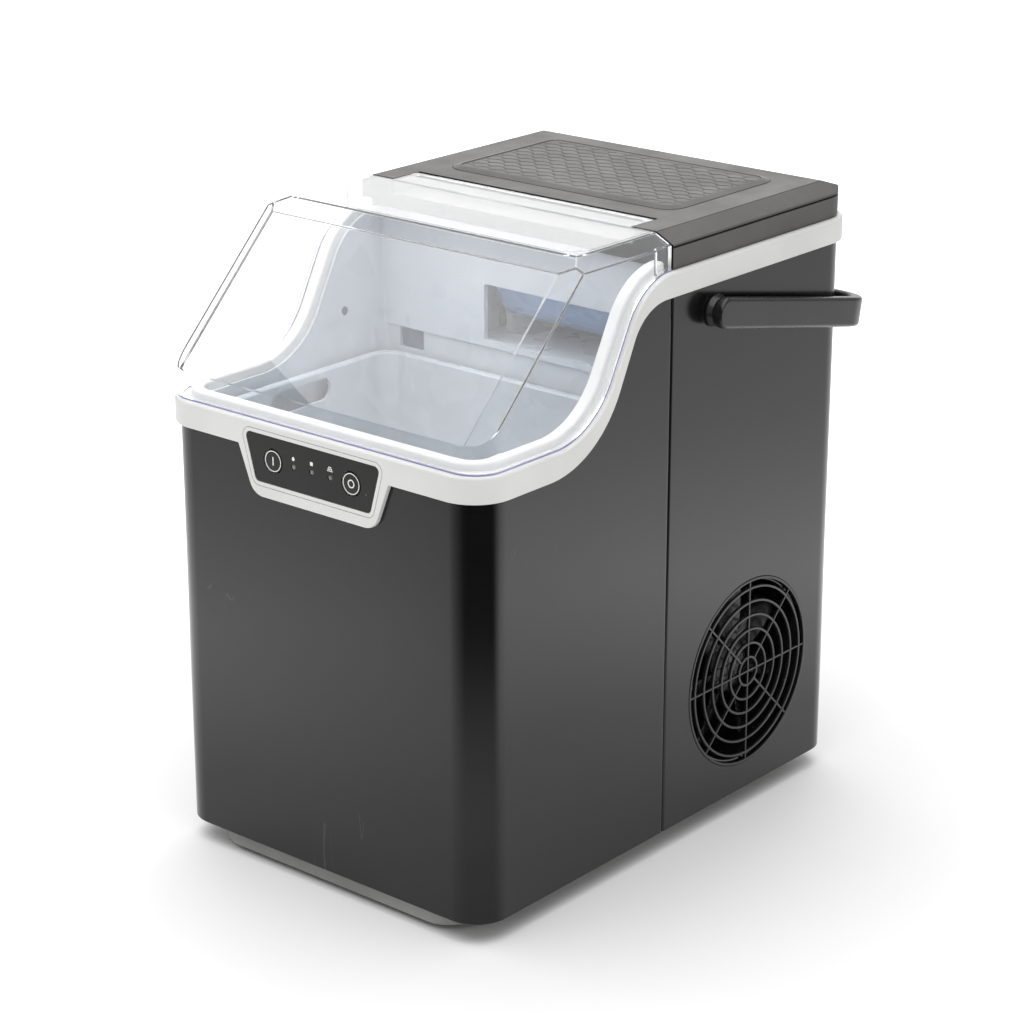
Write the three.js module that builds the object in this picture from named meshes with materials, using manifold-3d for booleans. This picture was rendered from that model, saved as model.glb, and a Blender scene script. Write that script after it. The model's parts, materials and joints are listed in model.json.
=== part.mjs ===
// A countertop ice maker, built as separate named pieces in millimetres, +Z up.
// While the pieces are made, +X is the user's right, +Y the back, and the origin is the
// middle of the painted body's footprint. The whole group is shifted at the end so that
// the origin is the middle of the machine's base, with the handle counted in its length.

import * as THREE from 'three';
import { mergeVertices } from 'three/addons/utils/BufferGeometryUtils.js';
import Module from 'manifold-3d';

const wasm = await Module();
wasm.setup();

// ---------------------------------------------------------------------------
// Driving dimensions

const gap = 0.3; // clearance left between touching pieces

const body = {
  halfWidth: 111,
  halfDepth: 159.3,
  cornerRadius: 20,
  bottom: 12,
  wall: 1.2,
  seamY: -5,
};

// The side of the machine steps up from the low front to the tall rear along an S curve:
// a lower arc, a straight slope and an upper arc that ends at endY.
const stepLower = { frontZ: 244.5, rearZ: 320, endY: -13.3, lowRadius: 62, highRadius: 30, slope: 64 };
const stepUpper = { frontZ: 259, rearZ: 333.7, endY: -6.2, lowRadius: 52, highRadius: 39, slope: 62 };

const rim = {
  proud: 3,
  innerHalfWidth: 98,
  innerHalfDepth: 147,
  innerRadius: 10,
  lipHalfWidth: 105,
  lipHalfDepth: 154,
  lipRise: 4.5,
  lipBackY: -8,
};

const topZ = 352.8; // flat top of the cover and of the lid
const bevel = { rise: 5.5, sideRun: 11, endRun: 14.8 };

const cover = { frontY: -5, wall: 3, bottom: stepUpper.rearZ + gap };
const notch = { halfWidth: 84.3, backY: 16.6, floorZ: 342.5, wall: 4 };
const hinge = {
  y: 10,
  z: 349.6,
  barrelRadius: 3.2,
  pinRadius: 1.5,
  holeRadius: 1.8,
  pinLength: 5,
  pinSkin: 1,
};

const lid = {
  frontY: -159,
  cornerRadius: 17,
  slopeFootZ: 274,
  wall: 2.2,
  backY: -6,
  flangeY: -17.5,
  flangeWall: 4,
  tabHalfWidth: 84,
  tabBackY: 15,
  toolBottom: 200, // low enough for the step to trim the whole lower edge
};

const panel = {
  topZ: 253,
  bottomZ: 226.5,
  topHalfWidth: 48,
  bottomHalfWidth: 40.7,
  cornerRadius: 3,
  buttonX: 27.7,
  buttonZ: 239.8,
  buttonRadius: 6.4,
  buttonSlack: 0.5,
  lampPitch: 13,
  lampRadius: 1.4,
};

const bump = { topHalfWidth: 54, bottomHalfWidth: 43, bottomZ: 218, cornerRadius: 10 };

const handle = {
  pivotY: 32,
  pivotZ: 304.5,
  restAngle: -11.9,
  halfWidth: 122.5,
  thickness: 6.5,
  height: 17,
  reach: 143.5,
  tail: 9,
  cornerRadius: 25,
  journalRadius: 4,
  skin: 2, // left outside each blind hole
};

const fan = {
  y: 72.5,
  z: 84,
  guardRadius: 55.5,
  blades: 7,
  bladeRadius: 48,
  bladeRoot: 14,
  bladeChord: 15,
  bladeThickness: 1.8,
  rootPitch: 50,
  tipPitch: 28,
  hubRadius: 18,
  hubLeft: 86,
  hubRight: 102,
  boreRadius: 2.9,
};

const tray = {
  y: 34,
  z: 303,
  outerRadius: 26,
  wall: 1.8,
  left: -20,
  right: 74,
  hubRadius: 6,
  axleRadius: 3,
  bearing: 8,
};

const steps = { corner: 3, curve: 4, round: 12, ring: 16 }; // halves of the segments in an arc

// Faces of the oversized tools that trim the solids, well outside the machine.
const outside = { x: 130, y: 200, z: 400 };

// ---------------------------------------------------------------------------
// Materials

function material(color, roughness, metalness = 0) {
  return new THREE.MeshStandardMaterial({ color, roughness, metalness });
}

function clearMaterial(color, opacity) {
  return new THREE.MeshStandardMaterial({ color, roughness: 0.08, transparent: true, opacity });
}

const paint = {
  shell: material(0x3a3836, 0.38, 0.6),
  rim: material(0xdcdcd8, 0.45),
  cover: material(0x3e3d3c, 0.6),
  clear: clearMaterial(0xeef2f8, 0.3),
  black: material(0x151515, 0.4),
  film: material(0x1c1b1b, 0.35),
  lamp: material(0x6d6a66, 0.3),
  liner: material(0xd5dce4, 0.4),
  basket: material(0xe2e7ee, 0.3),
  grey: material(0x8c8b89, 0.6),
  rubber: material(0x1d1d1d, 0.9),
  steel: material(0xb9bcc0, 0.3, 1),
  copper: material(0xb4693c, 0.35, 1),
  board: material(0x1f5a38, 0.6),
  tray: material(0x26344a, 0.35),
};

// ---------------------------------------------------------------------------
// Solids: three.js makes the shapes, manifold joins and cuts them

function toSolid(geometry) {
  const bare = geometry.clone();
  bare.deleteAttribute('normal');
  bare.deleteAttribute('uv');
  const merged = mergeVertices(bare, 1e-4);
  const mesh = new wasm.Mesh({
    numProp: 3,
    vertProperties: new Float32Array(merged.attributes.position.array),
    triVerts: new Uint32Array(merged.index.array),
  });
  return new wasm.Manifold(mesh);
}

function toGeometry(solid) {
  const mesh = solid.getMesh();
  const geometry = new THREE.BufferGeometry();
  geometry.setAttribute('position', new THREE.BufferAttribute(new Float32Array(mesh.vertProperties), 3));
  geometry.setIndex(new THREE.BufferAttribute(new Uint32Array(mesh.triVerts), 1));
  geometry.computeVertexNormals();
  return geometry;
}

function join(...solids) {
  return solids.reduce((whole, piece) => whole.add(piece));
}

function cut(solid, ...tools) {
  return tools.reduce((whole, tool) => whole.subtract(tool), solid);
}

function common(...solids) {
  return solids.reduce((whole, piece) => whole.intersect(piece));
}

function box(x0, x1, y0, y1, z0, z1) {
  const geometry = new THREE.BoxGeometry(x1 - x0, y1 - y0, z1 - z0);
  geometry.translate((x0 + x1) / 2, (y0 + y1) / 2, (z0 + z1) / 2);
  return toSolid(geometry);
}

function extrude(shape, depth, curveSegments = steps.corner) {
  return new THREE.ExtrudeGeometry(shape, { depth, bevelEnabled: false, curveSegments });
}

// Outline in X and Y, standing from z0 to z1.
function prismZ(shape, z0, z1, segments) {
  const geometry = extrude(shape, z1 - z0, segments);
  geometry.translate(0, 0, z0);
  return toSolid(geometry);
}

// Outline in Y and Z, running from x0 to x1.
function prismX(shape, x0, x1, segments) {
  const geometry = extrude(shape, x1 - x0, segments);
  const turn = new THREE.Matrix4().makeBasis(
    new THREE.Vector3(0, 1, 0),
    new THREE.Vector3(0, 0, 1),
    new THREE.Vector3(1, 0, 0),
  );
  geometry.applyMatrix4(turn);
  geometry.translate(x0, 0, 0);
  return toSolid(geometry);
}

// Outline in X and Z, running from y0 to y1.
function prismY(shape, y0, y1, segments) {
  const geometry = extrude(shape, y1 - y0, segments);
  geometry.rotateX(Math.PI / 2);
  geometry.translate(0, y1, 0);
  return toSolid(geometry);
}

function rod(axis, radius, from, to, at, sides = steps.round * 2) {
  const geometry = new THREE.CylinderGeometry(radius, radius, to - from, sides);
  geometry.translate(0, (from + to) / 2, 0);
  if (axis === 'x') {
    geometry.rotateZ(-Math.PI / 2);
    geometry.translate(0, at[0], at[1]);
  } else if (axis === 'y') {
    geometry.translate(at[0], 0, at[1]);
  } else {
    geometry.rotateX(Math.PI / 2);
    geometry.translate(at[0], at[1], 0);
  }
  return toSolid(geometry);
}

// A ring turned about the X axis through (y, z). The profile is a closed loop of
// [radius, x] pairs that goes up in x along its inner side.
function turnedX(profile, y, z, sides = steps.ring * 2) {
  const points = profile.map(([radius, x]) => new THREE.Vector2(radius, x)).reverse();
  points.push(points[0].clone());
  const geometry = new THREE.LatheGeometry(points, sides);
  geometry.rotateZ(-Math.PI / 2);
  geometry.translate(0, y, z);
  return toSolid(geometry);
}

// A round bar along a smooth curve through the points, cut into the given number of lengths.
function tube(points, radius, lengths, sides = 8) {
  const knots = points.map((point) => new THREE.Vector3(...point));
  const path = new THREE.CatmullRomCurve3(knots, false, 'centripetal');
  const section = new THREE.Shape();
  for (let side = 0; side < sides; side += 1) {
    const angle = (2 * Math.PI * side) / sides;
    const x = radius * Math.cos(angle);
    const y = radius * Math.sin(angle);
    if (side === 0) {
      section.moveTo(x, y);
    } else {
      section.lineTo(x, y);
    }
  }
  section.closePath();
  const options = { steps: lengths, bevelEnabled: false, extrudePath: path };
  return toSolid(new THREE.ExtrudeGeometry(section, options));
}

function polygon(points) {
  const shape = new THREE.Shape();
  shape.moveTo(...points[0]);
  for (const point of points.slice(1)) {
    shape.lineTo(...point);
  }
  shape.closePath();
  return shape;
}

// A rectangle with its own radius at the low-Y corners and at the high-Y corners.
function roundedRect(x0, x1, y0, y1, frontRadius, rearRadius = frontRadius) {
  const quarter = Math.PI / 2;
  const shape = new THREE.Shape();
  shape.moveTo(x0 + frontRadius, y0);
  shape.lineTo(x1 - frontRadius, y0);
  if (frontRadius > 0) {
    shape.absarc(x1 - frontRadius, y0 + frontRadius, frontRadius, -quarter, 0, false);
  }
  shape.lineTo(x1, y1 - rearRadius);
  if (rearRadius > 0) {
    shape.absarc(x1 - rearRadius, y1 - rearRadius, rearRadius, 0, quarter, false);
  }
  shape.lineTo(x0 + rearRadius, y1);
  if (rearRadius > 0) {
    shape.absarc(x0 + rearRadius, y1 - rearRadius, rearRadius, quarter, 2 * quarter, false);
  }
  shape.lineTo(x0, y0 + frontRadius);
  if (frontRadius > 0) {
    shape.absarc(x0 + frontRadius, y0 + frontRadius, frontRadius, 2 * quarter, 3 * quarter, false);
  }
  return shape;
}

// A trapezoid in X and Z, wide at the top, with rounded bottom corners and top corners.
function trapezoid(highZ, topHalf, lowZ, bottomHalf, bottomRadius, topRadius) {
  const lean = Math.atan2(topHalf - bottomHalf, highZ - lowZ);
  const shape = new THREE.Shape();
  const bottomRun = bottomRadius * Math.tan((Math.PI / 2 - lean) / 2);
  const bottomCentreX = bottomHalf - bottomRun;
  const bottomCentreZ = lowZ + bottomRadius;
  shape.moveTo(-bottomCentreX, lowZ);
  shape.absarc(bottomCentreX, bottomCentreZ, bottomRadius, -Math.PI / 2, -lean, false);
  if (topRadius > 0) {
    const topRun = topRadius * Math.tan((Math.PI / 2 + lean) / 2);
    const topCentreX = topHalf - topRun;
    const topCentreZ = highZ - topRadius;
    shape.absarc(topCentreX, topCentreZ, topRadius, -lean, Math.PI / 2, false);
    shape.absarc(-topCentreX, topCentreZ, topRadius, Math.PI / 2, Math.PI + lean, false);
  } else {
    shape.lineTo(topHalf, highZ);
    shape.lineTo(-topHalf, highZ);
  }
  shape.absarc(-bottomCentreX, bottomCentreZ, bottomRadius, Math.PI + lean, (3 * Math.PI) / 2, false);
  return shape;
}

// ---------------------------------------------------------------------------
// The S-shaped step

// The same step moved out along its own normal.
function raised(step, distance) {
  return {
    ...step,
    frontZ: step.frontZ + distance,
    rearZ: step.rearZ + distance,
    lowRadius: step.lowRadius - distance,
    highRadius: step.highRadius + distance,
  };
}

function traceStep(shape, step, frontY) {
  const slope = THREE.MathUtils.degToRad(step.slope);
  const arcRise = (step.lowRadius + step.highRadius) * (1 - Math.cos(slope));
  const straight = (step.rearZ - step.frontZ - arcRise) / Math.sin(slope);
  const run = (step.lowRadius + step.highRadius) * Math.sin(slope) + straight * Math.cos(slope);
  const startY = step.endY - run;
  const quarter = Math.PI / 2;
  shape.lineTo(frontY, step.frontZ);
  shape.absarc(startY, step.frontZ + step.lowRadius, step.lowRadius, -quarter, -quarter + slope, false);
  shape.absarc(step.endY, step.rearZ - step.highRadius, step.highRadius, quarter + slope, quarter, true);
}

// Everything below the step, across the whole width.
function underStep(step) {
  const shape = new THREE.Shape();
  shape.moveTo(-outside.y, 0);
  traceStep(shape, step, -outside.y);
  shape.lineTo(outside.y, step.rearZ);
  shape.lineTo(outside.y, 0);
  return prismX(shape, -outside.x, outside.x, steps.curve);
}

// ---------------------------------------------------------------------------
// Outer body

function bodyOutline(inset) {
  const x = body.halfWidth - inset;
  const y = body.halfDepth - inset;
  return roundedRect(-x, x, -y, y, body.cornerRadius - inset);
}

function shellTube() {
  const top = stepLower.rearZ + gap;
  const outer = prismZ(bodyOutline(0), body.bottom, top);
  const inner = prismZ(bodyOutline(body.wall), body.bottom - 1, top + 1);
  return common(cut(outer, inner), underStep(raised(stepLower, -gap)));
}

// The opening behind the control bump.
const controlWindow = { topHalfWidth: 51, bottomZ: 222, bottomHalfWidth: 42, cornerRadius: 6 };

function frontShell() {
  const front = box(-outside.x, outside.x, -outside.y, body.seamY - gap / 2, 0, outside.z);
  const w = controlWindow;
  const high = stepLower.frontZ + 1;
  const shape = trapezoid(high, w.topHalfWidth, w.bottomZ, w.bottomHalfWidth, w.cornerRadius, 0);
  const opening = prismY(shape, -body.halfDepth - 1, -body.halfDepth + 3);
  return cut(common(shellTube(), front), opening);
}

const plug = {
  x: 14,
  z: 32,
  headRadius: 10,
  head: 2.6,
  stemRadius: 6,
  stem: 20,
  holeRadius: 8,
  outletLength: 44,
};
const inlet = {
  x: 60,
  z: 42,
  halfWidth: 20,
  halfHeight: 14,
  depth: 24,
  flange: 1.8,
  socketHalfWidth: 12,
  socketHalfHeight: 8,
  socketDepth: 17,
  contacts: [[-7, -2], [0, 2], [7, -2]],
};
const vent = { count: 10, pitch: 9, width: 4, length: 70, firstZ: 60, centreY: 75 };

function rearShell() {
  const rear = box(-outside.x, outside.x, body.seamY + gap / 2, outside.y, 0, outside.z);
  const fanHole = rod('x', fan.guardRadius + gap, body.halfWidth - 5, body.halfWidth + 5, [fan.y, fan.z], 48);
  const plugHole = rod('y', plug.holeRadius, body.halfDepth - 5, body.halfDepth + 5, [plug.x, plug.z]);
  const inletHole = box(
    inlet.x - inlet.halfWidth - gap,
    inlet.x + inlet.halfWidth + gap,
    body.halfDepth - 5,
    body.halfDepth + 5,
    inlet.z - inlet.halfHeight - gap,
    inlet.z + inlet.halfHeight + gap,
  );
  const slots = [];
  for (let row = 0; row < vent.count; row += 1) {
    const z = vent.firstZ + row * vent.pitch;
    const y0 = vent.centreY - vent.length / 2;
    const y1 = vent.centreY + vent.length / 2;
    slots.push(box(-body.halfWidth - 2, -body.halfWidth + 3, y0, y1, z, z + vent.width));
  }
  return cut(common(shellTube(), rear), fanHole, plugHole, inletHole, ...slots);
}

const base = {
  bottom: 3,
  plateTop: 15,
  skirtHalfWidth: 90,
  skirtHalfDepth: 156,
  skirtWall: 3,
  skirtRadius: 20,
};
const foot = { x: 72, y: 136, radius: 9, top: 12 };

function basePan() {
  const plateBottom = body.bottom + gap;
  const plate = prismZ(bodyOutline(body.wall + gap), plateBottom, base.plateTop);
  const x = base.skirtHalfWidth;
  const y = base.skirtHalfDepth;
  const skirt = prismZ(roundedRect(-x, x, -y, y, base.skirtRadius), base.bottom, plateBottom + 1);
  const w = base.skirtWall;
  const hollow = prismZ(
    roundedRect(-x + w, x - w, -y + w, y - w, base.skirtRadius - w),
    base.bottom - 1,
    plateBottom,
  );
  return join(plate, cut(skirt, hollow));
}

function rubberFoot(x, y) {
  return rod('z', foot.radius, 0, foot.top, [x, y], 16);
}

function ringPrism(outer, inner, z0, z1) {
  return cut(prismZ(outer, z0, z1), prismZ(inner, z0 - 1, z1 + 1));
}

function rimOpening() {
  const x = rim.innerHalfWidth;
  const y = rim.innerHalfDepth;
  return roundedRect(-x, x, -y, y, rim.innerRadius);
}

function rimOutline() {
  const x = body.halfWidth + rim.proud;
  const y = body.halfDepth + rim.proud;
  return roundedRect(-x, x, -y, y, body.cornerRadius + rim.proud);
}

// Room inside the rim for the control board.
const boardPocket = { halfWidth: 51, backY: -149, bottomZ: 200, topZ: 255 };

function rimRing() {
  const low = bump.bottomZ - 10;
  const high = topZ;
  const lipX = rim.lipHalfWidth;
  const lipY = rim.lipHalfDepth;
  const lipRadius = rim.innerRadius + lipX - rim.innerHalfWidth;
  const lipShape = roundedRect(-lipX, lipX, -lipY, lipY, lipRadius);
  const shelf = common(ringPrism(rimOutline(), rimOpening(), low, high), underStep(stepUpper));
  const lip = common(
    ringPrism(lipShape, rimOpening(), low, high),
    underStep(raised(stepUpper, rim.lipRise)),
    box(-outside.x, outside.x, -outside.y, rim.lipBackY, 0, outside.z),
  );
  const front = -body.halfDepth - rim.proud;
  const bumpShape = trapezoid(stepLower.frontZ + 2, bump.topHalfWidth, bump.bottomZ, bump.bottomHalfWidth,
    bump.cornerRadius, 0);
  const bumpSolid = prismY(bumpShape, front, -body.halfDepth - gap);
  const p = boardPocket;
  const pocket = box(-p.halfWidth, p.halfWidth, -body.halfDepth - gap, p.backY, p.bottomZ, p.topZ);
  const ring = cut(join(shelf, lip), underStep(stepLower), pocket);
  return cut(
    join(ring, bumpSolid),
    filmRecess(),
    ...panelHoles(panel.buttonRadius + panel.buttonSlack, panel.lampRadius + gap),
  );
}

const film = { recess: 0.9, thickness: 0.5, sunk: 0.1 };

function filmOutline(inset) {
  return trapezoid(
    panel.topZ - inset,
    panel.topHalfWidth - inset,
    panel.bottomZ + inset,
    panel.bottomHalfWidth - inset,
    panel.cornerRadius,
    panel.cornerRadius,
  );
}

function filmRecess() {
  const front = -body.halfDepth - rim.proud;
  return prismY(filmOutline(0), front - 1, front + film.recess);
}

function panelHoles(buttonRadius, lampRadius) {
  const front = -body.halfDepth - rim.proud;
  const holes = [];
  for (const side of [-1, 1]) {
    holes.push(rod('y', buttonRadius, front - 1, front + 6, [side * panel.buttonX, panel.buttonZ]));
  }
  for (const place of [-1, 0, 1]) {
    holes.push(rod('y', lampRadius, front - 1, front + 6, [place * panel.lampPitch, panel.buttonZ], 12));
  }
  return holes;
}

function controlFilm() {
  const front = -body.halfDepth - rim.proud + film.sunk;
  const sheet = prismY(filmOutline(gap), front, front + film.thickness);
  return cut(sheet, ...panelHoles(panel.buttonRadius + panel.buttonSlack, panel.lampRadius + gap));
}

const button = { flangeRadius: 8, flange: 1, airGap: 0.4, sunk: 0.05 };

function pushButton(side) {
  const front = -body.halfDepth - rim.proud;
  const bumpBack = -body.halfDepth - gap;
  const at = [side * panel.buttonX, panel.buttonZ];
  const flangeStart = bumpBack + button.airGap;
  const flangeEnd = flangeStart + button.flange;
  const cap = rod('y', panel.buttonRadius, front + button.sunk, flangeStart + 0.5, at);
  const flange = rod('y', button.flangeRadius, flangeStart, flangeEnd, at);
  return join(cap, flange);
}

function lampLens(place) {
  const front = -body.halfDepth - rim.proud;
  const at = [place * panel.lampPitch, panel.buttonZ];
  return rod('y', panel.lampRadius, front + 0.15, front + 5.5, at, 12);
}

const board = {
  front: -155.8,
  back: -154.2,
  halfWidth: 45,
  bottom: 224,
  top: 252,
  standoffRadius: 2,
  standoffX: 38,
  standoffZ: 231,
  switchHalf: 3,
  switchDepth: 0.9,
};

function controlBoard() {
  const b = board;
  let solid = box(-b.halfWidth, b.halfWidth, b.front, b.back, b.bottom, b.top);
  for (const side of [-1, 1]) {
    const at = [side * b.standoffX, b.standoffZ];
    const standoff = rod('y', b.standoffRadius, -body.halfDepth, b.front + 0.5, at, 10);
    const tactSwitch = box(
      side * panel.buttonX - b.switchHalf,
      side * panel.buttonX + b.switchHalf,
      b.front - b.switchDepth,
      b.front + 0.5,
      panel.buttonZ - b.switchHalf,
      panel.buttonZ + b.switchHalf,
    );
    solid = join(solid, standoff, tactSwitch);
  }
  return solid;
}

// ---------------------------------------------------------------------------
// Top cover, texture plate and lid

// How far the shoulder drops and the flat's edge moves in for each millimetre that a
// bevelled form shrinks by.
const shrink = { shoulder: 0.8, flat: 0.6 };

// Outline in X and Z with bevelled top corners, used to trim the cover and the lid.
function bevelSection(inset, bottomZ) {
  const x = body.halfWidth - inset;
  const high = topZ - inset;
  const shoulder = topZ - bevel.rise - inset * shrink.shoulder;
  const flat = body.halfWidth - bevel.sideRun - inset * shrink.flat;
  return polygon([[-x, bottomZ], [x, bottomZ], [x, shoulder], [flat, high], [-flat, high], [-x, shoulder]]);
}

function coverForm(inset, frontY, bottomZ) {
  const x = body.halfWidth - inset;
  const back = body.halfDepth - inset;
  const plan = roundedRect(-x, x, frontY, back, 0, body.cornerRadius - inset);
  const high = topZ - inset;
  const shoulder = topZ - bevel.rise - inset * shrink.shoulder;
  const flat = body.halfDepth - bevel.endRun - inset * shrink.flat;
  const side = polygon([[frontY, bottomZ], [back, bottomZ], [back, shoulder], [flat, high], [frontY, high]]);
  return common(
    prismZ(plan, bottomZ, topZ + 1),
    prismX(side, -outside.x, outside.x),
    prismY(bevelSection(inset, bottomZ), frontY, back),
  );
}

const plate = { halfWidth: 81, frontY: 33, backY: 131, radius: 12, rise: 1.4, sunk: 0.8, bevel: 3.5 };

function topCover() {
  const outer = coverForm(0, cover.frontY, cover.bottom);
  const inner = coverForm(cover.wall, cover.frontY + cover.wall, cover.bottom - 1);
  const pocketX = notch.halfWidth + notch.wall;
  const pocket = common(
    box(-pocketX, pocketX, cover.frontY, notch.backY + notch.wall, notch.floorZ - notch.wall, topZ + 1),
    coverForm(0, cover.frontY, cover.bottom),
  );
  const notchCut = box(-notch.halfWidth, notch.halfWidth, -20, notch.backY, notch.floorZ, topZ + 5);
  const pinEnd = notch.halfWidth + notch.wall - hinge.pinSkin + gap;
  const pins = [-1, 1].map((side) => pinHole(side, notch.halfWidth - 1, pinEnd));
  const p = plate;
  const recess = prismZ(
    roundedRect(-p.halfWidth, p.halfWidth, p.frontY, p.backY, p.radius),
    topZ - p.sunk,
    topZ + 1,
  );
  return cut(join(cut(outer, inner), pocket), notchCut, recess, ...pins);
}

function pinHole(side, near, far) {
  const from = side > 0 ? near : -far;
  const to = side > 0 ? far : -near;
  return rod('x', hinge.holeRadius, from, to, [hinge.y, hinge.z], 12);
}

function hingePin(side) {
  const near = lid.tabHalfWidth - hinge.pinLength;
  const far = notch.halfWidth + notch.wall - hinge.pinSkin;
  const from = side > 0 ? near : -far;
  const to = side > 0 ? far : -near;
  return rod('x', hinge.pinRadius, from, to, [hinge.y, hinge.z], 12);
}

function texturePlate() {
  const p = plate;
  const bottom = topZ - p.sunk + gap;
  const outline = (inset) => roundedRect(
    -p.halfWidth + inset, p.halfWidth - inset, p.frontY + inset, p.backY - inset, p.radius - inset);
  const depth = 4 * p.sunk;
  const geometry = new THREE.ExtrudeGeometry(outline(gap + p.bevel), {
    depth,
    bevelThickness: p.rise,
    bevelSize: p.bevel,
    bevelSegments: 1,
    curveSegments: steps.corner,
  });
  geometry.translate(0, 0, topZ - depth);
  return common(toSolid(geometry), box(-outside.x, outside.x, 0, outside.y, bottom, topZ + p.rise + 1));
}

function lidForm(inset, backY) {
  const x = body.halfWidth - inset;
  const front = lid.frontY + inset;
  const plan = roundedRect(-x, x, front, backY, lid.cornerRadius - inset, 0);
  const shoulder = topZ - bevel.rise;
  const slopeRun = shoulder - lid.slopeFootZ;
  const shoulderY = lid.frontY + slopeRun;
  const slopeInset = inset * Math.tan(Math.PI / 8);
  const bevelShift = inset * shrink.flat;
  const side = polygon([
    [front, lid.toolBottom],
    [backY, lid.toolBottom],
    [backY, topZ - inset],
    [shoulderY + bevel.endRun + bevelShift, topZ - inset],
    [shoulderY + bevelShift, shoulder - inset * shrink.shoulder],
    [front, lid.slopeFootZ - slopeInset],
  ]);
  return common(
    prismZ(plan, lid.toolBottom, topZ + 1),
    prismX(side, -outside.x, outside.x),
    prismY(bevelSection(inset, lid.toolBottom), lid.frontY - 1, backY),
  );
}

function clearLid() {
  const outer = lidForm(0, lid.backY);
  const inner = lidForm(lid.wall, lid.backY + 10);
  const flangeInner = body.halfWidth - lid.flangeWall;
  const flange = cut(
    common(outer, box(-outside.x, outside.x, lid.flangeY, lid.backY, lid.toolBottom, outside.z)),
    box(-flangeInner, flangeInner, -outside.y, outside.y, lid.toolBottom, topZ - bevel.rise - lid.wall),
    lidForm(lid.flangeWall, lid.backY + 10),
  );
  const tab = box(-lid.tabHalfWidth, lid.tabHalfWidth, lid.backY - 3, lid.tabBackY, topZ - lid.wall, topZ);
  const barrel = rod('x', hinge.barrelRadius, -lid.tabHalfWidth, lid.tabHalfWidth, [hinge.y, hinge.z], 16);
  const pinStart = lid.tabHalfWidth - hinge.pinLength - 0.5;
  const holes = [-1, 1].map((side) => pinHole(side, pinStart, lid.tabHalfWidth + 1));
  const walls = cut(join(cut(outer, inner), flange), underStep(raised(stepUpper, gap)));
  return cut(join(walls, tab, barrel), ...holes);
}

// ---------------------------------------------------------------------------
// Handle

function handleBail() {
  const h = handle;
  const innerHalf = h.halfWidth - h.thickness;
  const innerReach = h.reach - h.thickness;
  const outer = prismZ(
    roundedRect(-h.halfWidth, h.halfWidth, -h.tail, h.reach, 0, h.cornerRadius),
    -h.height / 2,
    h.height / 2,
  );
  const inner = prismZ(
    roundedRect(-innerHalf, innerHalf, -h.tail - 5, innerReach, 0, h.cornerRadius - h.thickness),
    -h.height,
    h.height,
  );
  const holeDepth = h.thickness - h.skin;
  const holeRadius = h.journalRadius + gap;
  const holes = [-1, 1].map((side) => {
    const inside = side * (innerHalf - 2);
    const bottom = side * (innerHalf + holeDepth);
    return rod('x', holeRadius, Math.min(inside, bottom), Math.max(inside, bottom), [0, 0]);
  });
  return cut(outer, inner, ...holes);
}

const boss = { radius: 9, sleeve: 4.4 };

function handleBoss(side) {
  const start = body.halfWidth + gap;
  const at = [handle.pivotY, handle.pivotZ];
  const discEnd = start + boss.sleeve;
  const journalEnd = handle.halfWidth - handle.skin - gap;
  const span = (from, to) => (side > 0 ? [from, to] : [-to, -from]);
  const disc = rod('x', boss.radius, ...span(start, discEnd), at);
  const journal = rod('x', handle.journalRadius, ...span(discEnd - 0.5, journalEnd), at);
  return join(disc, journal);
}

// ---------------------------------------------------------------------------
// Ice bin

const bin = {
  halfWidth: 97.6,
  frontY: -146.6,
  backY: 2,
  wall: 2,
  radius: 9.6,
  floorZ: 96,
  topInset: 0.6,
};
const outlet = { left: -21, right: 75, bottom: 270, top: 302 };
const port = { left: -85, right: -67, bottom: 254, top: 266 };
const sensor = { y: -34, z: 280, radius: 2.3 };

function binLiner() {
  const b = bin;
  const outer = prismZ(
    roundedRect(-b.halfWidth, b.halfWidth, b.frontY, b.backY, b.radius, 4),
    b.floorZ,
    stepUpper.rearZ,
  );
  const inner = prismZ(
    roundedRect(-b.halfWidth + b.wall, b.halfWidth - b.wall, b.frontY + b.wall, b.backY - b.wall,
      b.radius - b.wall, 2),
    b.floorZ + b.wall,
    stepUpper.rearZ + 1,
  );
  const outletHole = box(outlet.left, outlet.right, -5, 5, outlet.bottom, outlet.top);
  const portHole = box(port.left, port.right, -5, 5, port.bottom, port.top);
  const sensorAt = [sensor.y, sensor.z];
  const sensorHole = rod('x', sensor.radius + gap, -b.halfWidth - 2, -b.halfWidth + 4, sensorAt, 12);
  const walls = common(cut(outer, inner), underStep(raised(stepUpper, -b.topInset)));
  return cut(walls, outletHole, portHole, sensorHole);
}

function iceSensor() {
  const b = bin;
  return rod('x', sensor.radius, -b.halfWidth - 6, -b.halfWidth + b.wall + 0.4, [sensor.y, sensor.z], 12);
}

const basket = {
  halfWidth: 89,
  frontY: -139,
  backY: -7,
  wall: 2,
  radius: 12,
  floorZ: 190,
  topZ: 253,
  flange: 3,
  fingerSlot: { frontY: -102, backY: -56, bottomZ: 236, topZ: 249, radius: 6 },
  drain: { columns: 5, rows: 3, pitchX: 31, pitchY: 36, width: 4, length: 18 },
};

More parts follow.
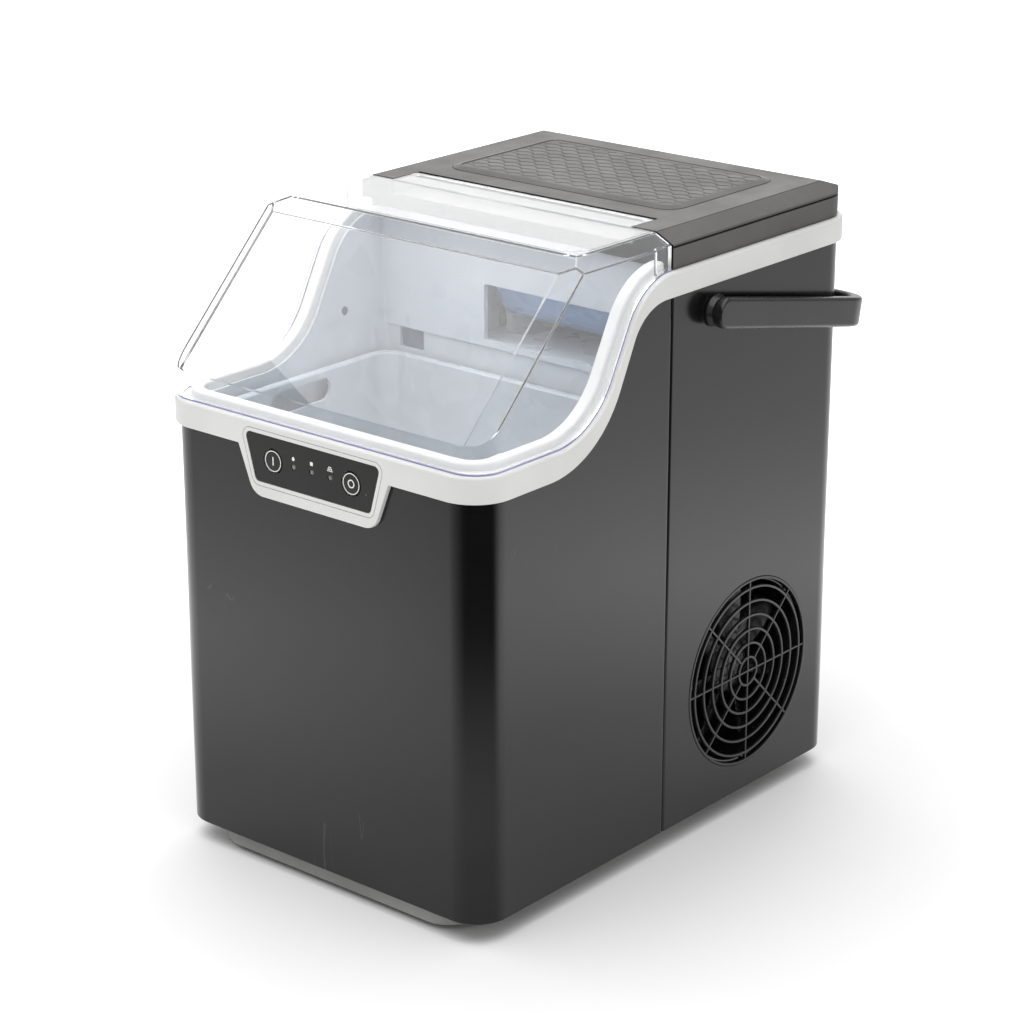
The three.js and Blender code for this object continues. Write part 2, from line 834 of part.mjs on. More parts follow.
function iceBasket() {
  const b = basket;
  const outline = (inset) => roundedRect(
    -b.halfWidth + inset, b.halfWidth - inset, b.frontY + inset, b.backY - inset, b.radius - inset);
  const outer = prismZ(outline(0), b.floorZ, b.topZ);
  const flange = prismZ(outline(-b.flange), b.topZ - b.wall, b.topZ);
  const inner = prismZ(outline(b.wall), b.floorZ + b.wall, b.topZ + 1);
  const holes = [];
  const drain = b.drain;
  for (let column = 0; column < drain.columns; column += 1) {
    for (let row = 0; row < drain.rows; row += 1) {
      const x = (column - (drain.columns - 1) / 2) * drain.pitchX;
      const y = (b.frontY + b.backY) / 2 + (row - (drain.rows - 1) / 2) * drain.pitchY;
      const halfL = drain.length / 2;
      const halfW = drain.width / 2;
      holes.push(box(x - halfL, x + halfL, y - halfW, y + halfW, b.floorZ - 1, b.floorZ + b.wall + 1));
    }
  }
  const f = b.fingerSlot;
  const slotShape = roundedRect(f.frontY, f.backY, f.bottomZ, f.topZ, f.radius);
  const slots = prismX(slotShape, -b.halfWidth - 5, b.halfWidth + 5);
  return cut(join(outer, flange), inner, slots, ...holes);
}

// ---------------------------------------------------------------------------
// Ice making: evaporator, tilting tray, pusher

const chute = { left: -34, right: 102, frontY: 2.4, backY: 70, bottom: 266.5, thickness: 2, lip: 285 };

function iceChute() {
  const c = chute;
  const top = c.bottom + c.thickness;
  const shape = polygon([
    [c.frontY, c.bottom],
    [c.backY, c.bottom],
    [c.backY, c.lip],
    [c.backY - c.thickness, c.lip],
    [c.backY - c.thickness, top],
    [c.frontY, top],
  ]);
  return prismX(shape, c.left, c.right);
}

function evaporator() {
  const e = { left: -12, right: 66, halfDepth: 15, bottom: 309, top: 316, columns: 4, pitch: 19.5, row: 9 };
  const finger = { radius: 5.5, tip: 285 };
  const hanger = { bottom: 332, top: 334, postRadius: 3, postInset: 6, postY: tray.y - 10 };
  let solid = box(e.left, e.right, tray.y - e.halfDepth, tray.y + e.halfDepth, e.bottom, e.top);
  for (let column = 0; column < e.columns; column += 1) {
    const x = (e.left + e.right) / 2 + (column - (e.columns - 1) / 2) * e.pitch;
    for (const side of [-1, 1]) {
      solid = join(solid, rod('z', finger.radius, finger.tip, e.bottom + 1, [x, tray.y + side * e.row], 10));
    }
  }
  const bracket = box(e.left, e.right, chute.frontY + gap, tray.y, hanger.bottom, hanger.top);
  const posts = [e.left + hanger.postInset, e.right - hanger.postInset].map(
    (x) => rod('z', hanger.postRadius, e.top - 1, hanger.bottom + 1, [x, hanger.postY], 8),
  );
  return join(solid, bracket, ...posts);
}

function waterTray() {
  const t = tray;
  const halfDisc = (radius) => {
    const shape = new THREE.Shape();
    shape.moveTo(t.y - radius, t.z);
    shape.absarc(t.y, t.z, radius, Math.PI, 2 * Math.PI, false);
    return shape;
  };
  const outer = prismX(halfDisc(t.outerRadius), t.left, t.right, steps.curve * 2);
  const inner = prismX(halfDisc(t.outerRadius - t.wall), t.left + t.wall, t.right - t.wall, steps.curve * 2);
  const at = [t.y, t.z];
  const hubs = [
    rod('x', t.hubRadius, t.left, t.left + t.wall, at, 16),
    rod('x', t.hubRadius, t.right - t.wall, t.right, at, 16),
    rod('x', t.axleRadius, t.left - t.bearing, t.left + 1, at, 12),
    rod('x', t.axleRadius, t.right - 1, t.right + 5.5, at, 12),
  ];
  return join(cut(outer, inner), ...hubs);
}

function trayBearing() {
  const x0 = tray.left - tray.bearing;
  const b = tray.bearing;
  const foot = chute.bottom + chute.thickness + gap;
  const block = box(x0, x0 + 5, tray.y - b, tray.y + b, foot, tray.z + b);
  return cut(block, rod('x', tray.axleRadius + gap, x0 - 1, x0 + 6, [tray.y, tray.z], 12));
}

function trayMotor() {
  const x0 = tray.right + 6;
  const z0 = chute.bottom + chute.thickness + gap;
  const half = 14;
  return box(x0, x0 + 18, tray.y - half, tray.y + half, z0, tray.z + half);
}

function icePusher() {
  const z0 = chute.bottom + chute.thickness + gap;
  const bar = { left: -18, right: 72, front: 60, back: 63, height: 6 };
  const tooth = { count: 8, pitch: 12, width: 5, front: 56, height: 4 };
  const teeth = [];
  for (let index = 0; index < tooth.count; index += 1) {
    const x = (bar.left + bar.right) / 2 + (index - (tooth.count - 1) / 2) * tooth.pitch;
    const half = tooth.width / 2;
    teeth.push(box(x - half, x + half, tooth.front, bar.front + 1, z0, z0 + tooth.height));
  }
  return join(box(bar.left, bar.right, bar.front, bar.back, z0, z0 + bar.height), ...teeth);
}

// ---------------------------------------------------------------------------
// Water and cooling

const pump = { x: -60, y: -112, radius: 16, bottom: 15.3, top: 50, outletZ: 40, outletLength: 24 };

function waterPump() {
  const p = pump;
  const can = rod('z', p.radius, p.bottom, p.top, [p.x, p.y], 20);
  const outletStub = rod('y', 4, p.y, p.y + p.outletLength, [p.x, p.outletZ], 12);
  return join(can, outletStub);
}

function pumpHose() {
  const start = pump.y + pump.outletLength + gap;
  return tube([
    [pump.x, start, pump.outletZ],
    [pump.x, start + 20, 41],
    [pump.x, -30, 56],
    [pump.x, -2, 78],
    [pump.x, 12, 120],
    [pump.x + 4, 14, 220],
    [pump.x + 14, 20, 290],
    [pump.x + 30, tray.y, 318],
  ], 4, 22);
}

function drainPlug() {
  const face = body.halfDepth + gap;
  const at = [plug.x, plug.z];
  const head = rod('y', plug.headRadius, face, face + plug.head, at);
  const stem = rod('y', plug.stemRadius, face - plug.stem, face + 1, at);
  return join(head, stem);
}

function drainOutlet() {
  const at = [plug.x, plug.z];
  const back = body.halfDepth - body.wall - gap;
  const front = back - plug.outletLength;
  const outer = rod('y', plug.stemRadius + 2.5, front, back, at);
  const bore = rod('y', plug.stemRadius + 0.5, front + 4, back + 1, at);
  return cut(outer, bore);
}

function drainHose() {
  const end = body.halfDepth - body.wall - gap - plug.outletLength - gap;
  return tube([
    [plug.x, end, plug.z],
    [plug.x, end - 20, plug.z],
    [plug.x, 40, 30],
    [plug.x, -16, 44],
    [plug.x, -30, 70],
    [plug.x, -32, bin.floorZ - 10],
    [plug.x, -32, bin.floorZ - gap],
  ], 4, 18);
}

const compressor = {
  x: -44,
  y: 84,
  radius: 42,
  bottom: 25,
  shoulder: 118,
  top: 138,
  plateHalf: 44,
  plateBottom: 22.5,
};

function compressorCan() {
  const c = compressor;
  const profile = [
    [0, c.bottom], [c.radius - 6, c.bottom], [c.radius, c.bottom + 8], [c.radius, c.shoulder],
    [c.radius * 0.72, c.top - 4], [0, c.top],
  ].map(([radius, z]) => new THREE.Vector2(radius, z));
  const geometry = new THREE.LatheGeometry(profile, 24);
  geometry.rotateX(Math.PI / 2);
  geometry.translate(c.x, c.y, 0);
  const can = toSolid(geometry);
  const h = c.plateHalf;
  return join(can, box(c.x - h, c.x + h, c.y - h, c.y + h, c.plateBottom, c.bottom + 0.5));
}

function compressorMount(sideX, sideY) {
  const c = compressor;
  const at = [c.x + sideX * (c.plateHalf - 8), c.y + sideY * (c.plateHalf - 8)];
  return rod('z', 7, base.plateTop + gap, c.plateBottom - gap, at, 12);
}

const condenser = { left: 30, right: 54, front: 20, back: 126, bottom: 24, top: 140 };

// Fins in a block: a comb outline in X and Y, with a solid spine down the middle.
function condenserCore() {
  const c = condenser;
  const fin = { count: 18, thickness: 2.2 };
  const pitch = (c.back - c.front - fin.thickness) / (fin.count - 1);
  const middle = (c.left + c.right) / 2;
  let core = box(middle - 3, middle + 3, c.front, c.back, c.bottom, c.top);
  for (let index = 0; index < fin.count; index += 1) {
    const y = c.front + index * pitch;
    core = join(core, box(c.left, c.right, y, y + fin.thickness, c.bottom, c.top));
  }
  return join(core, box(c.left, c.right, c.front, c.back, base.plateTop + gap, c.bottom + 0.5));
}

const motor = {
  radius: 17,
  left: 60,
  right: 82,
  shaftRadius: 2.5,
  shaftEnd: 90,
  strut: { x: 68, depth: 3, width: 7, start: 13, end: 52 },
};

function fanMotor() {
  const m = motor;
  const can = rod('x', m.radius, m.left, m.right, [fan.y, fan.z], 24);
  const shaft = rod('x', m.shaftRadius, m.right - 2, m.shaftEnd, [fan.y, fan.z], 12);
  const struts = [0, 1, 2].map((index) => {
    const geometry = new THREE.BoxGeometry(m.strut.depth, m.strut.width, m.strut.end - m.strut.start);
    geometry.translate(m.strut.x, 0, (m.strut.start + m.strut.end) / 2);
    geometry.rotateX((index * 2 * Math.PI) / 3);
    geometry.translate(0, fan.y, fan.z);
    return toSolid(geometry);
  });
  return join(can, shaft, ...struts);
}

const shroud = { left: 66, right: 108.4, innerRadius: 52.5, outerRadius: 54.6, flangeRadius: 59 };

function fanShroud() {
  const s = shroud;
  return turnedX([
    [s.innerRadius, s.left],
    [s.innerRadius, s.right],
    [s.outerRadius, s.right],
    [s.outerRadius, s.left + 3],
    [s.flangeRadius, s.left + 3],
    [s.flangeRadius, s.left],
  ], fan.y, fan.z);
}

function fanRotor() {
  const hub = rod('x', fan.hubRadius, fan.hubLeft, fan.hubRight, [fan.y, fan.z], 24);
  const bore = rod('x', fan.boreRadius, fan.hubLeft - 1, motor.shaftEnd + 3, [fan.y, fan.z], 12);
  const length = fan.bladeRadius - fan.bladeRoot;
  let rotor = cut(hub, bore);
  for (let index = 0; index < fan.blades; index += 1) {
    const geometry = new THREE.BoxGeometry(fan.bladeChord, fan.bladeThickness, length, 1, 1, 4);
    geometry.translate(0, 0, fan.bladeRoot + length / 2);
    twistBlade(geometry);
    geometry.translate((fan.hubLeft + fan.hubRight) / 2, 0, 0);
    geometry.rotateX((index * 2 * Math.PI) / fan.blades);
    geometry.translate(0, fan.y, fan.z);
    rotor = join(rotor, toSolid(geometry));
  }
  return rotor;
}

// Pitch each blade about its own length, steeper at the root than at the tip.
function twistBlade(geometry) {
  const position = geometry.attributes.position;
  for (let index = 0; index < position.count; index += 1) {
    const along = (position.getZ(index) - fan.bladeRoot) / (fan.bladeRadius - fan.bladeRoot);
    const pitch = fan.rootPitch + (fan.tipPitch - fan.rootPitch) * along;
    const angle = THREE.MathUtils.degToRad(pitch);
    const x = position.getX(index);
    const y = position.getY(index);
    position.setX(index, x * Math.cos(angle) - y * Math.sin(angle));
    position.setY(index, x * Math.sin(angle) + y * Math.cos(angle));
  }
}

const guard = {
  rings: 6,
  pitch: 8.3,
  ringWidth: 1.4,
  spokes: 8,
  spokeWidth: 1.2,
  frameWidth: 3,
  front: 111.2,
  back: 109.2,
};

function fanGuard() {
  const g = guard;
  const ring = (outer, inner, x0, x1, sides) => turnedX(
    [[inner, x0], [inner, x1], [outer, x1], [outer, x0]], fan.y, fan.z, sides);
  const outerRadius = fan.guardRadius;
  const frameBack = body.halfWidth - body.wall - 3 * gap;
  let solid = ring(outerRadius, outerRadius - g.frameWidth, frameBack, g.front + 0.2, 48);
  for (let index = 1; index <= g.rings; index += 1) {
    const middle = index * g.pitch;
    const sides = 16 + (index > 1 ? 8 : 0) + (index > 3 ? 8 : 0);
    solid = join(solid, ring(middle + g.ringWidth / 2, middle - g.ringWidth / 2, g.back, g.front, sides));
  }
  for (let index = 0; index < g.spokes; index += 1) {
    const inner = index % 2 === 0 ? 0 : g.pitch;
    const length = outerRadius - 1 - inner;
    const geometry = new THREE.BoxGeometry(g.front - g.back - 0.4, g.spokeWidth, length);
    geometry.translate((g.front + g.back) / 2 - 0.1, 0, inner + length / 2);
    geometry.rotateX((index * 2 * Math.PI) / g.spokes);
    geometry.translate(0, fan.y, fan.z);
    solid = join(solid, toSolid(geometry));
  }
  return solid;
}

function dischargePipe() {
  const c = compressor;
  return tube([
    [c.x + 20, c.y - 10, c.top - 1],
    [c.x + 22, c.y - 12, c.top + 16],
    [0, c.y - 6, c.top + 24],
    [30, c.y - 4, c.top + 22],
    [42, c.y, c.top + 12],
    [42, c.y, condenser.top + gap],
  ], 3, 16);
}

function suctionPipe() {
  const c = compressor;
  return tube([
    [c.x - 6, c.y + 12, c.top + gap],
    [c.x - 6, c.y + 14, c.top + 50],
    [c.x - 6, c.y + 8, 250],
    [c.x - 2, c.y - 4, 318],
    [-20, 60, 338],
    [0, 44, 340],
    [10, tray.y, 337.5],
  ], 3, 22);
}

function powerInlet() {
  const i = inlet;
  const shellFace = body.halfDepth;
  const flangeBack = shellFace + gap;
  const flange = box(
    i.x - i.halfWidth - 4, i.x + i.halfWidth + 4, flangeBack, flangeBack + i.flange,
    i.z - i.halfHeight - 3, i.z + i.halfHeight + 3,
  );
  const block = box(
    i.x - i.halfWidth, i.x + i.halfWidth, shellFace - i.depth, flangeBack + 1,
    i.z - i.halfHeight, i.z + i.halfHeight,
  );
  const socket = box(
    i.x - i.socketHalfWidth, i.x + i.socketHalfWidth, shellFace - i.socketDepth, shellFace + 5,
    i.z - i.socketHalfHeight, i.z + i.socketHalfHeight,
  );
  const pinBack = shellFace - i.socketDepth - 1;
  const pins = i.contacts.map(([dx, dz]) => box(
    i.x + dx - 1, i.x + dx + 1, pinBack, pinBack + 12, i.z + dz - 2, i.z + dz + 2,
  ));
  return join(cut(join(flange, block), socket), ...pins);
}

// ---------------------------------------------------------------------------
// Assembly

const machine = new THREE.Group();

function add(name, solid, look) {
  const mesh = new THREE.Mesh(toGeometry(solid), look);
  mesh.name = name;
  machine.add(mesh);
  return mesh;
}

const sides = [['left', -1], ['right', 1]];
const ends = [['front', -1], ['rear', 1]];

add('base_pan', basePan(), paint.grey);
for (const [end, signY] of ends) {
  for (const [side, signX] of sides) {
    add(`foot_${end}_${side}`, rubberFoot(signX * foot.x, signY * foot.y), paint.rubber);
    add(`compressor_mount_${end}_${side}`, compressorMount(signX, signY), paint.rubber);
  }
}
add('front_shell', frontShell(), paint.shell);
add('rear_shell', rearShell(), paint.shell);
add('rim', rimRing(), paint.rim);
add('control_film', controlFilm(), paint.film);
add('on_button', pushButton(-1), paint.film);
add('off_button', pushButton(1), paint.film);
for (const [name, place] of [['lamp_add_water', -1], ['lamp_making_ice', 0], ['lamp_bin_full', 1]]) {
  add(name, lampLens(place), paint.lamp);
}
add('control_board', controlBoard(), paint.board);
add('top_cover', topCover(), paint.cover);
add('texture_plate', texturePlate(), paint.cover);
add('lid', clearLid(), paint.clear);
for (const [side, sign] of sides) {
  add(`hinge_pin_${side}`, hingePin(sign), paint.steel);
  add(`handle_boss_${side}`, handleBoss(sign), paint.black);
}
const bail = add('handle', handleBail(), paint.black);
bail.position.set(0, handle.pivotY, handle.pivotZ);
bail.rotation.x = THREE.MathUtils.degToRad(handle.restAngle);

add('bin_liner', binLiner(), paint.liner);
add('ice_basket', iceBasket(), paint.basket);
add('ice_sensor', iceSensor(), paint.black);
add('ice_chute', iceChute(), paint.liner);
add('evaporator', evaporator(), paint.steel);
add('water_tray', waterTray(), paint.tray);
add('tray_bearing', trayBearing(), paint.liner);
add('tray_motor', trayMotor(), paint.grey);
add('ice_pusher', icePusher(), paint.tray);

add('water_pump', waterPump(), paint.black);
add('pump_hose', pumpHose(), paint.clear);
add('drain_plug', drainPlug(), paint.black);
add('drain_outlet', drainOutlet(), paint.black);
add('drain_hose', drainHose(), paint.clear);
add('compressor', compressorCan(), paint.black);
add('condenser', condenserCore(), paint.steel);
add('discharge_pipe', dischargePipe(), paint.copper);
add('suction_pipe', suctionPipe(), paint.copper);
add('fan_motor', fanMotor(), paint.black);
add('fan_shroud', fanShroud(), paint.black);
add('fan_rotor', fanRotor(), paint.black);
add('fan_guard', fanGuard(), paint.black);
add('power_inlet', powerInlet(), paint.black);

// The grip's tilted rear face is the rearmost point; the rim is the foremost.
const tilt = THREE.MathUtils.degToRad(handle.restAngle);
const gripDrop = (handle.height / 2) * Math.abs(Math.sin(tilt));
const rearmost = handle.pivotY + handle.reach * Math.cos(tilt) + gripDrop;
const foremost = -body.halfDepth - rim.proud;
machine.position.y = -(rearmost + foremost) / 2;

export default machine;
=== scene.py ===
"""The looks of a countertop ice maker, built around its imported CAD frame.

Shapes are written in millimetres with the origin in the middle of the painted body: +X is the
user's right, +Y the back and +Z up. mesh_object() turns them into metres in the row's frame.
"""

import json
from math import atan2, cos, hypot, pi, radians, sin, sqrt, tan

import bmesh
import bpy
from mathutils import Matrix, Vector


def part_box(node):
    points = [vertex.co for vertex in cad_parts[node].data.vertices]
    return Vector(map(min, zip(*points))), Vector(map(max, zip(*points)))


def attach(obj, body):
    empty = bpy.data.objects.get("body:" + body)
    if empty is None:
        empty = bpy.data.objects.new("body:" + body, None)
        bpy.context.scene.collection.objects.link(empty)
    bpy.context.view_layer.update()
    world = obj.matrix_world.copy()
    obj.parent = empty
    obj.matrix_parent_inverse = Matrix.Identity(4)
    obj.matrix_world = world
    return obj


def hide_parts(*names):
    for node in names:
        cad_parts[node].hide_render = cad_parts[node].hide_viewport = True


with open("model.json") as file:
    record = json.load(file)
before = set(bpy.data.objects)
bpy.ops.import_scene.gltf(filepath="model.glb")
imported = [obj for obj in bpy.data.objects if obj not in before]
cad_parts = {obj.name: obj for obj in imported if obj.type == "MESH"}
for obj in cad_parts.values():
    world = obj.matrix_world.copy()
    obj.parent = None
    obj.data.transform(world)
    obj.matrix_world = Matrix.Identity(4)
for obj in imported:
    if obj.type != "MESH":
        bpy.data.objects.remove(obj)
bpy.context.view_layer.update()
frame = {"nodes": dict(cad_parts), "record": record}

MM = 0.001
WELD = 1e-7
MID_Y = (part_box("front_shell")[0].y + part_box("rear_shell")[1].y) / 2


def place(node):
    """A CAD node's lowest and highest corners, in millimetres from the body's middle."""
    shift = Vector((0, MID_Y, 0))
    low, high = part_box(node)
    return (low - shift) / MM, (high - shift) / MM


def span(node, axis):
    """A CAD node's lowest and highest values along one axis."""
    return [getattr(corner, axis) for corner in place(node)]


def centre_of(node):
    """The centre of a CAD node's box."""
    return [(a + b) / 2 for a, b in zip(*place(node))]


FRONT = place("front_shell")
REAR = place("rear_shell")
RIM = place("rim")
COVER = place("top_cover")
LID = place("lid")
LINER = place("bin_liner")
BASKET = place("ice_basket")
PLATE = place("texture_plate")
GUARD = place("fan_guard")
PAN = place("base_pan")
FILM = place("control_film")

HALF = FRONT[1].x
DEEP = REAR[1].y
CORNER = 20
BOTTOM = FRONT[0].z
FACE = RIM[0].y  # the rim's front face, the foremost part of the machine
TOP = COVER[1].z
BEVEL = {"drop": 5.5, "side": 11, "end": 14.8}  # the sloping bevels round the top
SHOULDER = TOP - BEVEL["drop"]
FLAT = HALF - BEVEL["side"]  # half the width of the flat top
FAR = 400  # beyond the machine in any direction
GAP = 0.3  # clearance round a piece that is let into another

# The S-shaped step of the machine's sides: a lower arc, a slope and an upper arc.
LOWER = {"front": 244.5, "rear": 320, "end": -13.3, "low": 62, "high": 30, "slope": radians(64)}
UPPER = {"front": 259, "rear": 333.7, "end": -6.2, "low": 52, "high": 39, "slope": radians(62)}


def raised(step, distance):
    """The same step moved out along its own normal."""
    moved = dict(step)
    moved["front"] += distance
    moved["rear"] += distance
    moved["low"] -= distance
    moved["high"] += distance
    return moved


def step_height(step, y):
    """Height of a step's edge at a distance y from the middle."""
    slope, low, high = step["slope"], step["low"], step["high"]
    arc_rise = (low + high) * (1 - cos(slope))
    straight = (step["rear"] - step["front"] - arc_rise) / sin(slope)
    start = step["end"] - (low + high) * sin(slope) - straight * cos(slope)
    if y <= start:
        return step["front"]
    if y >= step["end"]:
        return step["rear"]
    if y - start <= low * sin(slope):
        return step["front"] + low - sqrt(low * low - (y - start) ** 2)
    if step["end"] - y <= high * sin(slope):
        return step["rear"] - high + sqrt(high * high - (step["end"] - y) ** 2)
    foot = step["front"] + low * (1 - cos(slope))
    return foot + (y - start - low * sin(slope)) * tan(slope)


# ---- Mesh helpers


def add_object(name, data):
    made = bpy.data.objects.new(name, data)
    bpy.context.scene.collection.objects.link(made)
    return made


def mesh_object(name, vertices, faces):
    mesh = bpy.data.meshes.new(name)
    mesh.from_pydata([(x * MM, y * MM + MID_Y, z * MM) for x, y, z in vertices], [], faces)
    work = bmesh.new()
    work.from_mesh(mesh)
    bmesh.ops.remove_doubles(work, verts=work.verts, dist=WELD)
    bmesh.ops.dissolve_degenerate(work, edges=work.edges, dist=WELD)
    bmesh.ops.recalc_face_normals(work, faces=work.faces)
    work.to_mesh(mesh)
    work.free()
    return add_object(name, mesh)


def grid(points, close_rows=False, close_columns=False, caps=False):
    """Vertices and quads of a table of points; caps close the first and last rows."""
    rows, columns = len(points), len(points[0])
    faces = []
    for row in range(rows if close_rows else rows - 1):
        for column in range(columns if close_columns else columns - 1):
            below = row * columns
            above = ((row + 1) % rows) * columns
            right = (column + 1) % columns
            faces.append((below + column, below + right, above + right, above + column))
    if caps:
        faces.append(tuple(reversed(range(columns))))
        faces.append(tuple(range((rows - 1) * columns, rows * columns)))
    return [point for row in points for point in row], faces


def build(name, *grids):
    """One object from several grids, welded where they meet."""
    vertices, faces = [], []
    for points, quads in grids:
        offset = len(vertices)
        vertices.extend(points)
        faces.extend(tuple(index + offset for index in quad) for quad in quads)
    return mesh_object(name, vertices, faces)


def along(axis, a, b, t):
    """A point t along one axis, with a and b along the other two in their usual order."""
    spot = [a, b]
    spot.insert("xyz".index(axis), t)
    return tuple(spot)


def prism(name, ring, axis, start, end):
    """A straight solid along an axis; ring is its outline in the other two."""
    rows = [[along(axis, a, b, t) for a, b in ring] for t in (start, end)]
    return build(name, grid(rows, close_columns=True, caps=True))


def block(name, low, high):
    (x0, y0, z0), (x1, y1, z1) = low, high
    return prism(name, [(x0, y0), (x1, y0), (x1, y1), (x0, y1)], "z", z0, z1)


def turned(name, profile, centre, axis, sides=64):
    """A solid turned about an axis from (radius, distance along the axis) points: a closed
    section, or an open one that starts and ends on the axis."""
    rows = []
    for side in range(sides):
        angle = 2 * pi * side / sides
        row = [along(axis, r * cos(angle), r * sin(angle), t) for r, t in profile]
        rows.append([tuple(c + offset for c, offset in zip(centre, point)) for point in row])
    return build(name, grid(rows, close_rows=True, close_columns=profile[0][0] > 0))


def disc(name, radius, centre, axis, start, end, sides=40):
    return turned(name, [(0, start), (radius, start), (radius, end), (0, end)], centre, axis, sides)


def corner_arc(a, b, radius, start, turn):
    """Points of a quarter circle about (a, b), anticlockwise from an angle in degrees."""
    angles = [radians(start + 90 * step / turn) for step in range(turn + 1)]
    return [(a + radius * cos(angle), b + radius * sin(angle)) for angle in angles]


def rounded_section(half_a, half_b, radius, turn=4):
    """A rounded rectangle about the origin, anticlockwise."""
    a, b = half_a - radius, half_b - radius
    corners = [(a, b, 0), (-a, b, 90), (-a, -b, 180), (a, -b, 270)]
    return [spot for x, y, start in corners for spot in corner_arc(x, y, radius, start, turn)]


def rounded_rect(a0, a1, b0, b1, radius, turn=6):
    section = rounded_section((a1 - a0) / 2, (b1 - b0) / 2, radius, turn)
    return [((a0 + a1) / 2 + a, (b0 + b1) / 2 + b) for a, b in section]


def outline(half, y0, y1, front_r, rear_r, inset=0, us=(), ys=(), open_back=False, turn=16):
    """Plan points round a rounded rectangle moved in by inset, anticlockwise from the left
    side's back end. us and ys place the points between the corners."""
    core, low, radius = half - front_r, y0 + front_r, front_r - inset
    ring = [(inset - half, y) for y in reversed(ys)] + corner_arc(-core, low, radius, 180, turn)
    ring += [(u * core, y0 + inset) for u in us] + corner_arc(core, low, radius, 270, turn)
    ring += [(half - inset, y) for y in ys]
    if open_back:
        return ring
    core, high, radius = half - rear_r, y1 - rear_r, rear_r - inset
    ring += corner_arc(core, high, radius, 0, turn) + [(u * core, y1 - inset) for u in reversed(us)]
    return ring + corner_arc(-core, high, radius, 90, turn)


def spread(start, end, count):
    return [start + (end - start) * index / (count - 1) for index in range(count)]


def quarter(radius, count):
    """Points of a convex fillet: how far in and how far down from its outer corner."""
    angles = spread(0, pi / 2, count)
    return [(radius * (1 - cos(angle)), -radius * (1 - sin(angle))) for angle in angles]


def settle(piece):
    """Applies the piece's modifiers to its mesh."""
    graph = bpy.context.evaluated_depsgraph_get()
    mesh = bpy.data.meshes.new_from_object(piece.evaluated_get(graph))
    piece.modifiers.clear()
    piece.data = mesh
    return piece


def combine(piece, operation, *tools):
    """Cuts, joins or intersects each tool with the piece, then deletes the tool."""
    for tool in tools:
        modifier = piece.modifiers.new("combine", "BOOLEAN")
        modifier.operation = operation
        modifier.solver = "EXACT"
        modifier.object = tool
        settle(piece)
        bpy.data.objects.remove(tool)
    return piece


def cut(piece, *tools):
    return combine(piece, "DIFFERENCE", *tools)


def join(piece, *tools):
    return combine(piece, "UNION", *tools)


def soften(piece, width, segments=3, angle=30):
    modifier = piece.modifiers.new("soften", "BEVEL")
    modifier.width = width * MM
    modifier.segments = segments
    modifier.limit_method = "ANGLE"
    modifier.angle_limit = radians(angle)
    return settle(piece)


def trim(piece, point, normal):
    """Cuts away what lies on the normal's side of a plane and closes the cut."""
    x, y, z = point
    work = bmesh.new()
    work.from_mesh(piece.data)
    bmesh.ops.bisect_plane(work, geom=work.verts[:] + work.edges[:] + work.faces[:], dist=WELD,
                           plane_co=(x * MM, y * MM + MID_Y, z * MM), plane_no=normal, clear_outer=True)
    bmesh.ops.holes_fill(work, edges=[edge for edge in work.edges if edge.is_boundary])
    bmesh.ops.recalc_face_normals(work, faces=work.faces)
    work.to_mesh(piece.data)
    work.free()
    return piece


def shade(piece, angle=30):
    """Smooth shading with sharp edges kept, led by the larger faces so that flats stay flat."""
    mesh = piece.data
    mesh.polygons.foreach_set("use_smooth", [True] * len(mesh.polygons))
    mesh.set_sharp_from_angle(angle=radians(angle))
    modifier = piece.modifiers.new("shade", "WEIGHTED_NORMAL")
    modifier.keep_sharp = True
    return settle(piece)


def dress(piece, look, body, *nodes, slot=None, angle=30):
    """Gives a finished piece its look, its body and the CAD nodes it stands for.
    The slot argument is not used."""
    shade(piece, angle)
    piece.data.materials.clear()
    piece.data.materials.append(LOOKS[look])
    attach(piece, body)
    if nodes:
        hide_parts(*nodes)


def rows_from(columns):
    """Turns a list of columns into a list of rows."""
    return [list(row) for row in zip(*columns)]


# ---- Materials


